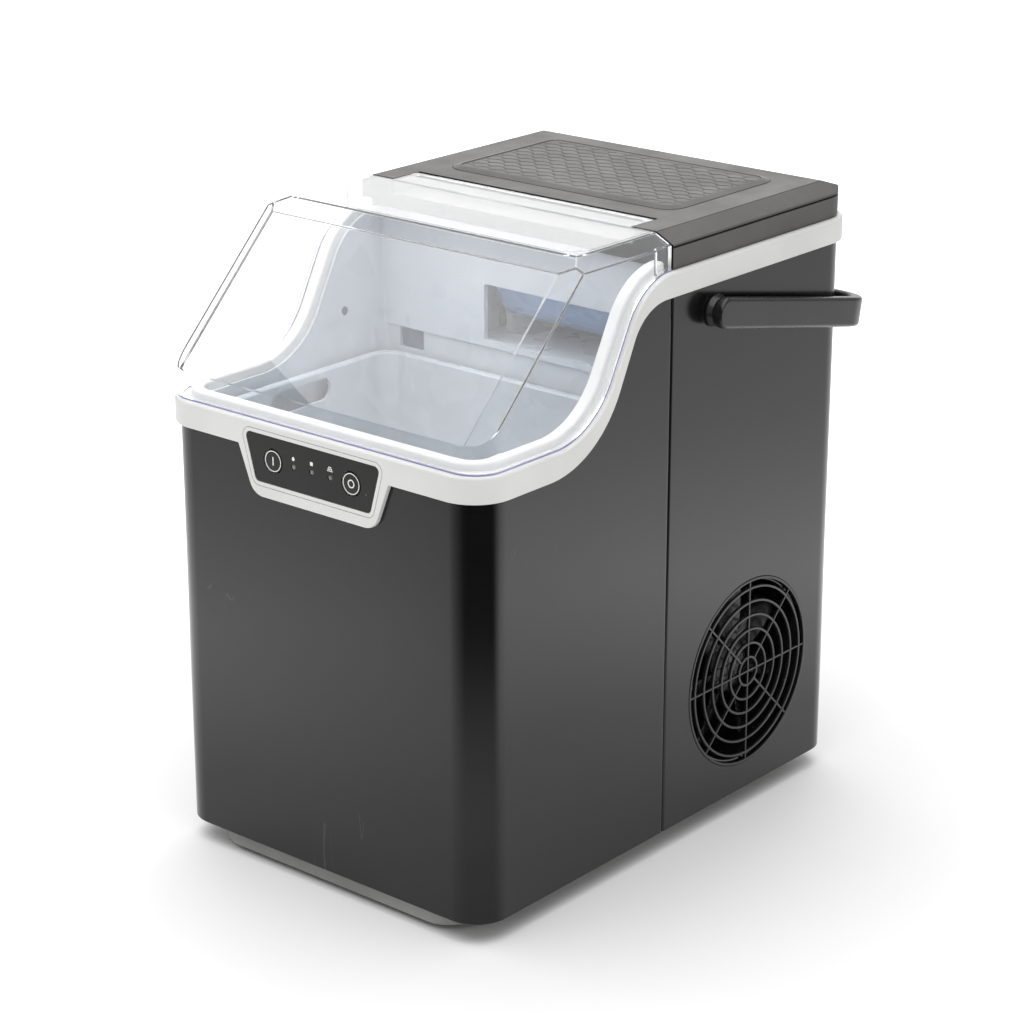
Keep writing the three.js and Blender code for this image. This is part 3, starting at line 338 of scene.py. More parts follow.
class Nodes:
    """Short ways to add procedural nodes to a node tree."""

    def __init__(self, owner):
        owner.use_nodes = True
        self.tree = owner.node_tree

    def node(self, kind, **sockets):
        """Adds a shader node and sets some of its inputs."""
        made = self.tree.nodes.new("ShaderNode" + kind)
        for socket, value in sockets.items():
            made.inputs[socket.replace("_", " ")].default_value = value
        return made

    def link(self, output, target):
        self.tree.links.new(output, target)

    def spot(self):
        """Where a point is on its object, in metres."""
        return self.node("TexCoord").outputs["Object"]

    def noise(self, scale, detail=3.0, stretch=(1, 1, 1)):
        """Noise from 0 to 1; scale is in lumps per metre."""
        mapping = self.node("Mapping", Scale=stretch)
        texture = self.node("TexNoise", Scale=scale, Detail=detail)
        self.link(self.spot(), mapping.inputs["Vector"])
        self.link(mapping.outputs["Vector"], texture.inputs["Vector"])
        return texture.outputs["Fac"]

    def dots(self, scale, size):
        """Scattered small dots: 1 inside and 0 outside."""
        cells = self.node("TexVoronoi", Scale=scale)
        self.link(self.spot(), cells.inputs["Vector"])
        near = self.math("LESS_THAN", cells.outputs["Distance"], size)
        chosen = self.math("GREATER_THAN", self.noise(scale * 0.4, 0.0), 0.56)
        return self.math("MULTIPLY", near, chosen)

    def scratches(self, scale, stretch, width, cover):
        """Thin broken lines along the least stretched axis."""
        ridge = self.math("ABSOLUTE", self.math("SUBTRACT", self.noise(scale, 1.0, stretch), 0.5), 0)
        line = self.math("LESS_THAN", ridge, width)
        patch = self.math("GREATER_THAN", self.noise(21.0, 2.0), cover)
        return self.math("MULTIPLY", line, patch)

    def math(self, operation, first, second):
        node = self.node("Math")
        node.operation = operation
        for socket, value in zip(node.inputs, (first, second)):
            if isinstance(value, (int, float)):
                socket.default_value = value
            else:
                self.link(value, socket)
        return node.outputs[0]

    def remap(self, value, low, high, start=0.35, end=0.65):
        """Turns values from start to end into low to high, and clamps the rest."""
        node = self.node("MapRange", From_Min=start, From_Max=end, To_Min=low, To_Max=high)
        self.link(value, node.inputs["Value"])
        return node.outputs["Result"]

    def blend(self, factor, first, second):
        """Mixes two colours; each is a triple or another node's output."""
        node = self.node("Mix")
        node.data_type = "RGBA"
        for socket, colour in ((node.inputs[6], first), (node.inputs[7], second)):
            if isinstance(colour, tuple):
                socket.default_value = (*colour, 1)
            else:
                self.link(colour, socket)
        self.link(factor, node.inputs[0])
        return node.outputs[2]

    def distance(self):
        """Distance in metres from the object's origin."""
        node = self.node("VectorMath")
        node.operation = "LENGTH"
        self.link(self.spot(), node.inputs[0])
        return node.outputs["Value"]

    def seen(self):
        """1 for rays that come from the camera or through clear plastic, otherwise 0."""
        path = self.node("LightPath")
        return self.math("MAXIMUM", path.outputs["Is Camera Ray"], path.outputs["Is Transmission Ray"])


class Paint(Nodes):
    """A Principled material and short ways to drive its main sockets."""

    def __init__(self, name, **sockets):
        self.material = bpy.data.materials.new(name)
        super().__init__(self.material)
        self.shader = self.tree.nodes["Principled BSDF"]
        for socket, value in sockets.items():
            self.shader.inputs[socket.replace("_", " ")].default_value = value

    def colour(self, output):
        self.link(output, self.shader.inputs["Base Color"])

    def rough(self, output):
        self.link(output, self.shader.inputs["Roughness"])

    def bump(self, height, strength, depth):
        node = self.node("Bump", Strength=strength, Distance=depth * MM)
        self.link(height, node.inputs["Height"])
        self.link(node.outputs["Normal"], self.shader.inputs["Normal"])


def moulded(name, dark, light, rough, grain, depth, sockets):
    """Moulded plastic: slight colour drift, uneven gloss, a fine grain and a little dust."""
    paint = Paint(name, **sockets)
    drift = paint.remap(paint.noise(16.0), 0, 1)
    dust = tuple(0.5 * value + 0.25 for value in light)
    speck = paint.math("MULTIPLY", paint.dots(160.0, 0.09), 0.25)
    paint.colour(paint.blend(speck, paint.blend(drift, dark, light), dust))
    paint.rough(paint.remap(paint.noise(48.0, 5.0), *rough))
    paint.bump(paint.noise(grain, 2.0), 0.4, depth)
    return paint.material


def shell_paint():
    """Charcoal lacquer over vertically brushed steel, with smears, specks and faint scratches."""
    paint = Paint("shell_paint", IOR=1.47)
    brush = paint.noise(850.0, 3.0, (1, 1, 0.01))
    broad = paint.noise(8.0)
    mixed = paint.math("ADD", paint.math("MULTIPLY", brush, 0.3), paint.math("MULTIPLY", broad, 0.7))
    base = paint.blend(paint.remap(mixed, 0, 1), (0.0040, 0.0036, 0.0037), (0.0060, 0.0056, 0.0057))
    fine = paint.math("MULTIPLY", paint.scratches(60.0, (1, 1, 0.06), 0.0016, 0.64), 0.07)
    scuffed = paint.blend(fine, base, (0.30, 0.29, 0.28))
    paint.colour(paint.blend(paint.dots(38.0, 0.045), scuffed, (0.001, 0.001, 0.001)))
    smear = paint.remap(paint.noise(22.0, 6.0, (1, 1, 0.6)), 0.15, 0.19)
    paint.rough(paint.math("ADD", smear, paint.math("MULTIPLY", brush, 0.03)))
    paint.bump(brush, 0.04, 0.02)
    return paint.material


def glass_like(name, tint, shadow_tint, haze):
    """Clear plastic with faint smears; lamps shine through it."""
    paint = Paint(name, Base_Color=(*tint, 1), IOR=1.42, Transmission_Weight=0.965)
    paint.rough(paint.remap(paint.noise(26.0, 5.0), 0.0, haze, 0.45, 0.8))
    window = paint.node("BsdfTransparent", Color=(*shadow_tint, 1))
    mix = paint.node("MixShader")
    paint.link(paint.node("LightPath").outputs["Is Shadow Ray"], mix.inputs["Fac"])
    paint.link(paint.shader.outputs["BSDF"], mix.inputs[1])
    paint.link(window.outputs["BSDF"], mix.inputs[2])
    paint.link(mix.outputs["Shader"], paint.tree.nodes["Material Output"].inputs["Surface"])
    return paint.material


def metal(name, dark, light, rough):
    paint = Paint(name, Metallic=1.0)
    paint.colour(paint.blend(paint.remap(paint.noise(60.0), 0, 1), dark, light))
    paint.rough(paint.remap(paint.noise(220.0, 4.0, (1, 1, 0.2)), *rough))
    paint.bump(paint.noise(900.0, 2.0), 0.2, 0.03)
    return paint.material


GLOSSY = {"Coat_Weight": 0.2, "Coat_Roughness": 0.15}

# Each moulded look: its darker and lighter colour, its roughness range, its grain in lumps per
# metre, the grain's depth in millimetres and any sockets of its own.
MOULDED = {
    "rim_plastic": ((0.615, 0.615, 0.60), (0.665, 0.665, 0.65), (0.36, 0.46), 1500, 0.02, {}),
    "cover_plastic": ((0.064, 0.061, 0.058), (0.082, 0.079, 0.075), (0.44, 0.54), 2400, 0.06, {}),
    "control_film": ((0.008, 0.0072, 0.007), (0.012, 0.011, 0.0105), (0.28, 0.36), 3000, 0.01, {"IOR": 1.36}),
    "film_print": ((0.70, 0.70, 0.68), (0.80, 0.80, 0.78), (0.45, 0.6), 3000, 0.01, {}),
    "lamp_lens": ((0.13, 0.12, 0.115), (0.19, 0.18, 0.17), (0.15, 0.25), 2000, 0.01, {}),
    # The lid's edge: opaque blue-violet, for the clear plastic's tint and the painted light its edge gathers.
    "lid_edge": ((0.20, 0.20, 0.48), (0.30, 0.30, 0.60), (0.2, 0.3), 900, 0.01, {}),
    # Near-black with almost no reflection: painted shadow for the gaps round the lid.
    "gap_shadow_black": ((0.002, 0.002, 0.002), (0.004, 0.004, 0.004), (0.7, 0.9), 2200, 0.05,
                   {"Specular_IOR_Level": 0.1}),
    "hose_rubber": ((0.52, 0.52, 0.50), (0.62, 0.62, 0.60), (0.3, 0.45), 900, 0.03, {}),
    "black_plastic": ((0.007, 0.007, 0.007), (0.011, 0.011, 0.011), (0.24, 0.32), 1800, 0.02, {}),
    "fan_plastic": ((0.006, 0.006, 0.006), (0.012, 0.012, 0.012), (0.14, 0.26), 900, 0.02, {}),
    "liner_plastic": ((0.43, 0.465, 0.505), (0.48, 0.515, 0.555), (0.24, 0.34), 500, 0.006, GLOSSY),
    "basket_plastic": ((0.37, 0.402, 0.437), (0.42, 0.452, 0.487), (0.2, 0.32), 500, 0.006, GLOSSY),
    "tray_plastic": ((0.10, 0.21, 0.41), (0.14, 0.27, 0.49), (0.2, 0.32), 900, 0.02, {}),
    # The port flap: blue plastic, darkened to paint in the shade inside the port.
    "port_blue_painted_shade": ((0.02, 0.045, 0.09), (0.03, 0.06, 0.12), (0.2, 0.35), 900, 0.02, {}),
    "grey_plastic": ((0.20, 0.20, 0.195), (0.27, 0.27, 0.26), (0.5, 0.65), 1800, 0.06, {}),
    "foot_rubber": ((0.015, 0.015, 0.015), (0.026, 0.026, 0.026), (0.75, 0.9), 2200, 0.08, {}),
    "circuit_board": ((0.01, 0.09, 0.035), (0.018, 0.14, 0.06), (0.35, 0.5), 1500, 0.02, {}),
    "compressor_paint": ((0.01, 0.01, 0.01), (0.02, 0.02, 0.02), (0.25, 0.4), 300, 0.08, {}),
}
# Each metal: its darker and lighter colour and its roughness range.
METALS = {
    "bright_steel": ((0.42, 0.42, 0.43), (0.56, 0.56, 0.57), (0.2, 0.35)),
    "bare_aluminium": ((0.52, 0.53, 0.54), (0.66, 0.67, 0.68), (0.28, 0.45)),
    "copper_pipe": ((0.46, 0.20, 0.10), (0.60, 0.30, 0.17), (0.2, 0.4)),
}
LOOKS = {
    "shell_paint": shell_paint(),
    "clear_lid": glass_like("clear_lid", (0.985, 0.99, 1.0), (0.94, 0.945, 0.955), 0.05),
    **{name: moulded(name, *values) for name, values in MOULDED.items()},
    **{name: metal(name, *values) for name, values in METALS.items()},
}

# ---- Painted shells

SIDE_YS = [-134, -128, -122, -116, *spread(-110, -8, 70), 20, 60, 100, 134]
HEM = 1.5  # radius of the folded edge along each seam


def shell_ring(inset, end_y):
    """Plan points of a shell from its left seam round the front to its right seam."""
    ys = [y for y in SIDE_YS if y < end_y - HEM - 1]
    middle = outline(HALF, -DEEP, 0, CORNER, 0, inset, spread(-0.9, 0.9, 9), ys, open_back=True, turn=20)
    left = corner_arc(HEM - HALF, end_y - HEM, HEM - inset, 90, 5)
    right = corner_arc(HALF - HEM, end_y - HEM, HEM - inset, 0, 5)
    return left + middle + right


def shell(name, end_y, sign, height):
    """A bent sheet with folded seams; sign -1 turns it round to make the rear one."""
    section = [(1.2, "low", 0.4), (0.85, "low", 0), (0.35, "low", 0), (0, "low", 0.4),
               (0, "high", 0.5), (0.35, "high", 0.1), (0.85, "high", 0.1), (1.2, "high", 0.4)]
    columns = []
    for inset, end, margin in section:
        column = []
        for x, y in shell_ring(inset, end_y):
            z = BOTTOM + margin if end == "low" else height(y) - margin
            column.append((sign * x, sign * y, z))
        columns.append(column)
    return build(name, grid(rows_from(columns), close_columns=True, caps=True))


def front_shell():
    """The sheet round the front and sides, open behind the rim's control panel."""
    low_edge = raised(LOWER, -0.3)
    piece = shell("front_panel", FRONT[1].y, 1, lambda y: step_height(low_edge, y))
    narrow, wide, low, high = 41, 50, 221.5, 244
    opening = [(-narrow, low), (narrow, low), (wide, high), (wide, FAR), (-wide, FAR), (-wide, high)]
    cut(piece, prism("opening", opening, "y", -DEEP - 2, -DEEP + 3))
    dress(piece, "shell_paint", "root", "front_shell")


_, FAN_Y, FAN_Z = centre_of("fan_guard")
FAN_R = (GUARD[1].z - GUARD[0].z) / 2
INLET = {"half": 20, "tall": 14}  # half sizes of the power inlet's body
PLUG_HOLE = 8
VENT = {"rows": 10, "first": 60, "pitch": 9, "height": 4, "front": 40, "back": 110}


def rear_shell():
    piece = shell("rear_panel", -REAR[0].y, -1, lambda y: REAR[1].z)
    fan_hole = disc("fan_hole", FAN_R + GAP, (HALF, FAN_Y, FAN_Z), "x", -5, 5, 96)
    plug_x, _, plug_z = centre_of("drain_plug")
    plug_hole = disc("plug_hole", PLUG_HOLE, (plug_x, DEEP, plug_z), "y", -5, 5)
    x, _, z = centre_of("power_inlet")
    half, tall = INLET["half"] + GAP, INLET["tall"] + GAP
    inlet_hole = block("inlet_hole", (x - half, DEEP - 5, z - tall), (x + half, DEEP + 5, z + tall))
    cut(piece, fan_hole, plug_hole, inlet_hole)
    for row in range(VENT["rows"]):
        low = VENT["first"] + VENT["pitch"] * row
        ring = rounded_rect(VENT["front"], VENT["back"], low, low + VENT["height"], 1.9)
        cut(piece, prism("slot", ring, "x", -HALF - 3, -HALF + 4))
    dress(piece, "shell_paint", "root", "rear_shell")


# ---- Rim and control panel

PROUD = RIM[1].x - HALF
BUMP = {"top_half": 54, "top": 246.5, "half": 43, "bottom": RIM[0].z, "radius": 10}
PANEL = {"top": 253, "bottom": 226.5, "top_half": 48, "half": 40.7, "z": 239.8}
BUTTON_X = {"on_button": -27.7, "off_button": 27.7}
LAMP_X = {"lamp_add_water": -13, "lamp_making_ice": 0, "lamp_bin_full": 13}
LIP = 4.5  # height of the lip inside the lid
LIP_END = -8  # the lip stops here, under the cover


def bump_edge():
    """The rim's lower edge across the front, left to right: (x, z, outward x, outward z)."""
    lean = atan2(BUMP["top_half"] - BUMP["half"], BUMP["top"] - BUMP["bottom"])
    radius = BUMP["radius"]
    centre_x = BUMP["half"] - radius * tan((pi / 2 - lean) / 2)
    centre_z = BUMP["bottom"] + radius
    right = [(x, BUMP["bottom"], 0, -1) for x in spread(0, centre_x, 6)[:-1]]
    for angle in spread(-pi / 2, -lean, 13):
        right.append((centre_x + radius * cos(angle), centre_z + radius * sin(angle),
                      cos(angle), sin(angle)))
    corner_x = BUMP["top_half"] - (BUMP["top"] - LOWER["front"]) * tan(lean)
    last_x, last_z, out_x, out_z = right[-1]
    for share in (0.3, 0.6, 0.85, 1):
        right.append((last_x + (corner_x - last_x) * share, last_z + (LOWER["front"] - last_z) * share,
                      out_x, out_z))
    right.extend((corner_x + further, LOWER["front"], 0, -1) for further in (0.05, 4, 16, 30))
    left = [(-x, z, -out_x, out_z) for x, z, out_x, out_z in reversed(right[1:])]
    return left + right


def rim_section():
    """The rim's section from its lower edge, out and over the shelf and lip, and back:
    (ring, inset, level, offset)."""
    section = [("outer", 0.9, "edge", 0), ("outer", 0.26, "edge", 0.26), ("outer", 0, "edge", 0.9)]
    section += [("outer", inset, "shelf", drop) for inset, drop in quarter(1.8, 5)]
    section += [("lip", -0.7, "shelf", 0), ("lip", 0, "shelf", 0.6)]
    section += [("lip", inset, "lip", drop) for inset, drop in quarter(1.4, 5)]
    section += [("inner", -1.6, "lip", 0), ("inner", -0.6, "lip", -0.3), ("inner", -0.12, "lip", -0.9)]
    section += [("inner", 0, "lip", -1.8), ("inner", 0, "under", 0), ("outer", PROUD - 0.3, "under", 0)]
    section += [("outer", PROUD - 0.3, "edge", 0)]
    return section


def rim_body():
    edge = bump_edge()
    ys = [-134, -126, -118, *spread(-110, -9, 70), LIP_END - 0.01, LIP_END + 0.01, -4, 30, 90, 134]
    turn = 18
    first = len(ys) + turn + 1
    edge_at = {first + index: spot for index, spot in enumerate(edge)}
    rings = {"outer": (HALF + PROUD, -FACE, CORNER + PROUD), "lip": (105, 154, 17), "inner": (98, 147, 10)}
    columns = []
    for kind, inset, level, offset in rim_section():
        half, deep, radius = rings[kind]
        us = [spot[0] / (half - radius) for spot in edge]
        column = []
        for index, (x, y) in enumerate(outline(half, -deep, deep, radius, radius, inset, us, ys, turn=turn)):
            lip = LIP if y < LIP_END else 0
            if level == "edge" and index in edge_at:
                x, z, out_x, out_z = edge_at[index]
                x -= offset * out_x
                z -= offset * out_z
            elif level in ("edge", "under"):
                z = step_height(LOWER, y) + offset
            elif level == "shelf":
                z = step_height(raised(UPPER, min(offset, lip)), y)
            else:
                z = step_height(raised(UPPER, max(lip + offset, 0)), y)
            column.append((x, y, z))
        columns.append(column)
    return build("rim_frame", grid(rows_from(columns), close_rows=True, close_columns=True))


def film_ring(inset, turn=6):
    """The control film's outline in X and Z, moved in by inset."""
    lean = atan2(PANEL["top_half"] - PANEL["half"], PANEL["top"] - PANEL["bottom"])
    radius = 3 - inset
    top, low = PANEL["top"] - inset, PANEL["bottom"] + inset
    side, drift = inset / cos(lean), inset * tan(lean)
    top_x = PANEL["top_half"] - side - drift - radius * tan((pi / 2 + lean) / 2)
    low_x = PANEL["half"] - side + drift - radius * tan((pi / 2 - lean) / 2)
    right = []
    for x, z, start, end in ((low_x, low + radius, -pi / 2, -lean), (top_x, top - radius, -lean, pi / 2)):
        right += [(x + radius * cos(a), z + radius * sin(a)) for a in spread(start, end, turn + 1)]
    return right + [(-x, z) for x, z in reversed(right)]


def band(name, outer, inner, axis, start, end):
    """A flat frame between two outlines with the same number of points."""
    rows = []
    for out_spot, in_spot in zip(outer, inner):
        row = [along(axis, *out_spot, start), along(axis, *out_spot, end)]
        rows.append(row + [along(axis, *in_spot, end), along(axis, *in_spot, start)])
    return build(name, grid(rows, close_rows=True, close_columns=True))


def control_holes():
    """Cutting tools for the holes round the buttons and the lamps."""
    button_radius, lamp_radius = 6.9, 1.7
    holes = [(x, button_radius, 56) for x in BUTTON_X.values()]
    holes += [(x, lamp_radius, 24) for x in LAMP_X.values()]
    return [disc("hole", radius, (x, 0, PANEL["z"]), "y", FACE - 1, FACE + 6, sides)
            for x, radius, sides in holes]


def rim():
    piece = rim_body()
    recess = prism("recess", film_ring(0), "y", FACE - 2, FACE + 0.9)
    groove = band("groove", film_ring(-2.5), film_ring(-2.0), "y", FACE - 1, FACE + 0.45)
    cut(piece, recess, groove, *control_holes())
    dress(piece, "rim_plastic", "root", "rim")


def control_film():
    piece = prism("film_sheet", film_ring(0.3), "y", FILM[0].y, FILM[1].y)
    soften(piece, 0.12, 2)
    cut(piece, *control_holes())
    dress(piece, "control_film", "root", "control_film")


def push_button(node, x):
    """A round cap with a softened edge, on a flange behind the rim."""
    front, back = span(node, "y")
    radius, flange_radius, face = 6.4, 8, front + 0.06
    cap = [(0, face), (radius - 0.6, face), (radius - 0.2, front + 0.18), (radius, front + 0.5)]
    flange = [(radius, back - 1), (flange_radius, back - 1), (flange_radius, back), (0, back)]
    piece = turned(node + "_cap", cap + flange, (x, 0, PANEL["z"]), "y")
    dress(piece, "control_film", node, node)


def circle(radius, centre_a, centre_b, sides=64):
    angles = [2 * pi * side / sides for side in range(sides)]
    return [(centre_a + radius * cos(a), centre_b + radius * sin(a)) for a in angles]


def button_print(node, x, mark):
    """A printed circle with a power symbol in it: a bar for on, a small ring for off."""
    z = PANEL["z"]
    front = span(node, "y")[0]
    back = front + 0.08
    ring = band(node + "_print", circle(5.7, x, z), circle(5.25, x, z), "y", front, back)
    if mark == "bar":
        symbol = prism("symbol", rounded_rect(x - 0.35, x + 0.35, z - 2.4, z + 2.4, 0.3), "y", front, back)
    else:
        symbol = band("symbol", circle(2.3, x, z), circle(1.65, x, z), "y", front, back)
    join(ring, symbol)
    dress(ring, "film_print", node, slot="control_film")


def film_icon(name, *shapes):
    """A printed mark on the film, from outlines in X and Z."""
    start, end = FILM[0].y - 0.04, FILM[0].y + 0.05
    pieces = [prism(name, shape, "y", start, end) for shape in shapes]
    piece = join(pieces[0], *pieces[1:])
    dress(piece, "film_print", "root", slot="control_film")


def film_icons():
    """Tiny marks over the lamps: a drop, an ice cube and a filled bin."""
    z = PANEL["z"] + 4.6
    x = LAMP_X["lamp_add_water"]
    drop = [(a, b + 0.9 * max(0, b - z) ** 2) for a, b in circle(0.95, x, z - 0.3, 24)]
    film_icon("icon_water", drop)
    x = LAMP_X["lamp_making_ice"]
    film_icon("icon_ice", rounded_rect(x - 1, x + 1, z - 1, z + 1, 0.25))
    x = LAMP_X["lamp_bin_full"]
    cubes = [rounded_rect(x + a - 0.4, x + a + 0.4, z + b, z + b + 0.8, 0.1)
             for a, b in ((-1.1, -0.5), (0, -0.5), (1.1, -0.5), (-0.55, 0.55), (0.55, 0.55))]
    film_icon("icon_full", rounded_rect(x - 2, x + 2, z - 1.2, z - 0.8, 0.15), *cubes)


def lamp(node, x):
    """A small lens with a domed front."""
    front, back = span(node, "y")
    radius, rise = 1.4, 0.45
    angles = [radians(angle) for angle in (0, 20, 40, 60, 80, 90)]
    dome = [(radius * sin(angle), front + rise * (1 - cos(angle))) for angle in angles]
    piece = turned(node + "_lens", dome + [(radius, back), (0, back)], (x, 0, PANEL["z"]), "y", 32)
    dress(piece, "lamp_lens", "root", node)


# ---- Top cover, textured plate and lid

SIDE_SLOPE = Vector((BEVEL["drop"], 0, BEVEL["side"])).normalized()
END_SLOPE = Vector((0, BEVEL["drop"], BEVEL["end"])).normalized()
LID_SLOPE = Vector((0, -1, 1)).normalized()
LID_SLOPE_FOOT = 274
LID_CORNER = 17
LID_WALL = 2.2
LID_BACK = -6.5  # the end of the lid's side walls; only its hinge tab goes further back
HINGE = {"y": 10, "z": 349.6, "radius": 3.2, "half": 84}
FLANGE = {"inner": 107, "outer": 109.4, "long": 11, "low": 325}
NOTCH = {"half": 84.3, "back": 16.6, "floor": 342.5, "wall": 4}  # the cover's recess for the hinge
# Depth of the painted gap shadow on the cover's front edge.
GAP_SHADOW_DEPTH = 1.2


def bevelled_block(name, y0, y1, front_r, rear_r, inset, z0, planes):
    """A block on the machine's plan outline, trimmed by sloping planes, all moved in by inset."""
    ring = outline(HALF - inset, y0 + inset, y1 - inset, max(front_r - inset, 0), max(rear_r - inset, 0))
    piece = prism(name, ring, "z", z0, TOP - inset)
    for point, normal in planes:
        trim(piece, Vector(point) - inset * normal, normal)
    return piece


def side_planes():
    mirrored = Vector((-SIDE_SLOPE.x, 0, SIDE_SLOPE.z))
    return [((HALF, 0, SHOULDER), SIDE_SLOPE), ((-HALF, 0, SHOULDER), mirrored)]


def top_cover():
    planes = [*side_planes(), ((0, DEEP, SHOULDER), END_SLOPE)]
    front, bottom = COVER[0].y, COVER[0].z
    piece = bevelled_block("cover_shell", front, DEEP, 0, CORNER, 0, bottom, planes)
    soften(piece, 0.55, 3, 15)
    hollow = bevelled_block("hollow", front, DEEP, 0, CORNER, 3, bottom - 2, planes)
    half, back, floor, wall = NOTCH["half"], NOTCH["back"], NOTCH["floor"], NOTCH["wall"]
    pocket = block("pocket", (-half - wall, front + 0.4, floor - wall), (half + wall, back + wall, TOP - 1))
    notch = block("notch", (-half, -30, floor), (half, back, FAR))
    recess_half, y0, y1 = PLATE[1].x + GAP, PLATE[0].y - GAP, PLATE[1].y + GAP
    ring = rounded_rect(-recess_half, recess_half, y0, y1, 12, 10)
    recess = prism("recess", ring, "z", PLATE[0].z, FAR)
    cut(piece, hollow)
    join(piece, pocket)
    cut(piece, soften(notch, 0.6, 2), recess, flat_line(), skirt_line())
    dress(piece, "cover_plastic", "root", "top_cover", angle=16)
    # The cover's front faces get the near-black look as painted shadow of the gap behind the lid.
    piece.data.materials.append(LOOKS["gap_shadow_black"])
    for polygon in piece.data.polygons:
        if polygon.normal.y < -0.9:
            polygon.material_index = 1
    return piece


def cover_gap_shadow():
    """A black strip on the cover's front edge and on the back wall of its hinge notch: painted shadow in the
    gaps round the lid and its hinge tab.
    """
    half, flat, low, shoulder, top = HALF - 0.4, FLAT - 0.2, COVER[0].z + 0.4, SHOULDER - 0.2, TOP - 0.2
    section = [(-half, low), (half, low), (half, shoulder), (flat, top), (-flat, top), (-half, shoulder)]
    piece = prism("front_gap_shadow", section, "y", COVER[0].y - GAP_SHADOW_DEPTH, COVER[0].y)
    notch, back, floor = NOTCH["half"], NOTCH["back"], NOTCH["floor"]
    gap = block("notch_gap", (-notch - 0.2, -20, floor - 0.2), (notch + 0.2, 20, FAR))
    strip = block("notch_gap_shadow", (-notch, back - 1, floor + 0.5), (notch, back + 0.05, TOP - 0.1))
    cut(piece, gap)
    join(piece, strip)
    dress(piece, "gap_shadow_black", "root", slot="black_plastic")


def flat_line():
    """The fine moulded line where the cover's flat top meets its bevels."""
    front, back, half_width, depth = COVER[0].y - 10, DEEP - BEVEL["end"], 0.22, 0.4
    outline_pair = []
    for shift, start in ((half_width, front), (-half_width, front + 1)):
        x, y = FLAT + shift, back + shift
        outline_pair.append([(-x, start), (x, start), (x, y), (-x, y)])
    return band("flat_line", *outline_pair, "z", TOP - depth, TOP + 2)


def skirt_line():
    """The shadow line under the bevel, where the cover's top is snapped onto its skirt."""
    depth, front = 1.8, COVER[0].y - 40
    outer = outline(HALF + 5, front, DEEP + 5, 0, CORNER + 5)
    inner = outline(HALF - depth, front + 5, DEEP - depth, 0, CORNER - depth)
    return band("skirt_line", outer, inner, "z", SHOULDER - 2, SHOULDER - 0.8)


SCALE = {"width": 12.0, "row": 6.4, "radius": 6.9, "lift": 0.62}


def scale_height(x, y):
    """Height of a field of overlapping fish scales, each lying on the row behind it."""
    width, pitch, radius = SCALE["width"], SCALE["row"], SCALE["radius"]
    row = int(y // pitch)
    for index in range(row - 1, row + 3):
        centre_y = index * pitch
        shift = width / 2 if index % 2 else 0
        centre_x = round((x - shift) / width) * width + shift
        distance = hypot(x - centre_x, y - centre_y)
        if distance < radius:
            drop = (centre_y + radius - y) / (2 * radius)
            return SCALE["lift"] * (0.25 + 0.75 * drop) * min(1.0, (radius - distance) / 0.7)
    return 0.0


def texture_plate():
    """A raised plate with sloping borders and an embossed field of scales."""
    half, y0, y1, radius, border, turn = PLATE[1].x, PLATE[0].y, PLATE[1].y, 11.7, 5.2, 9
    low, high, floor = PLATE[0].z, PLATE[1].z, PLATE[1].z - SCALE["lift"]
    us = spread(-1, 1, 221)[1:-1]
    ys = spread(y0 + radius, y1 - radius, 108)[1:-1]
    section = [(0.4, low), (0, low + 0.4), (0, low + 0.6), (0.15, low + 0.8), (border - 1, high - 0.06),
               (border - 0.7, high), (border - 0.5, high - 0.03), (border - 0.1, floor + 0.05),
               (border, floor)]
    loops = []
    for inset, z in section:
        ring = outline(half, y0, y1, radius, radius, inset, us, ys, turn=turn)
        loops.append([(x, y, z) for x, y in ring])
    core, small = half - radius, radius - border
    angles = spread(0, pi / 2, turn + 1)
    lines = [(y0 + radius - small * cos(a), core + small * sin(a)) for a in angles]
    lines += [(y, half - border) for y in ys]
    lines += [(y1 - radius + small * cos(a), core + small * sin(a)) for a in reversed(angles)]

    def field_height(x, y, width):
        margin = min(width - abs(x), y - (y0 + border), (y1 - border) - y)
        return floor + scale_height(x, y) * min(1.0, max(0.0, margin / 1.2))

    field = [[(u * width, y, field_height(u * width, y, width)) for u in (-1, *us, 1)] for y, width in lines]
    underside = (loops[0], [tuple(reversed(range(len(loops[0]))))])
    piece = build("textured_plate", grid(loops, close_columns=True), grid(field), underside)
    dress(piece, "cover_plastic", "root", "texture_plate", angle=50)


def step_prism(step):
    """Everything below an S-shaped step, across the whole width."""
    ys = [-FAR / 2, *spread(-112, -2, 90), FAR / 2]
    ring = [(-FAR / 2, 0), *[(y, step_height(step, y)) for y in ys], (FAR / 2, 0)]
    return prism("under_step", ring, "x", -FAR / 2, FAR / 2)


def lid_planes(shoulder_y):
    """The sloping planes that trim the lid: its bevels, its long front slope and that one's own
    side bevels."""
    front_bevel = Vector((0, -END_SLOPE.y, END_SLOPE.z))
    foot = Vector((0, LID[0].y, LID_SLOPE_FOOT))
    planes = [*side_planes(), ((0, shoulder_y, SHOULDER), front_bevel), (foot, LID_SLOPE)]
    for side in (-1, 1):
        outward = Vector((side, 0, 0))
        slope_bevel = (BEVEL["drop"] * outward + BEVEL["side"] * LID_SLOPE).normalized()
        planes.append((foot + FLAT * outward, slope_bevel))
    return planes


def lid_hinge():
    """The tab behind the lid's flat top, its hinge barrel, and a flange at each side wall's end."""
    half, edge = HINGE["half"], LID_BACK - 14
    ring = rounded_rect(-half, half, edge, LID[1].y - 0.8, 1.2)
    tab = prism("tab", ring, "z", TOP - LID_WALL + 0.05, TOP - 0.05)
    barrel = disc("barrel", HINGE["radius"], (0, HINGE["y"], HINGE["z"]), "x", -half, half, 32)
    flanges = []
    for side in (-1, 1):
        x0, x1 = sorted((side * FLANGE["inner"], side * FLANGE["outer"]))
        flanges.append(block("flange", (x0, LID_BACK - FLANGE["long"], FLANGE["low"]),
                             (x1, LID_BACK - 0.3, SHOULDER - 1)))
    return [*flanges, soften(tab, 0.5, 2), barrel]


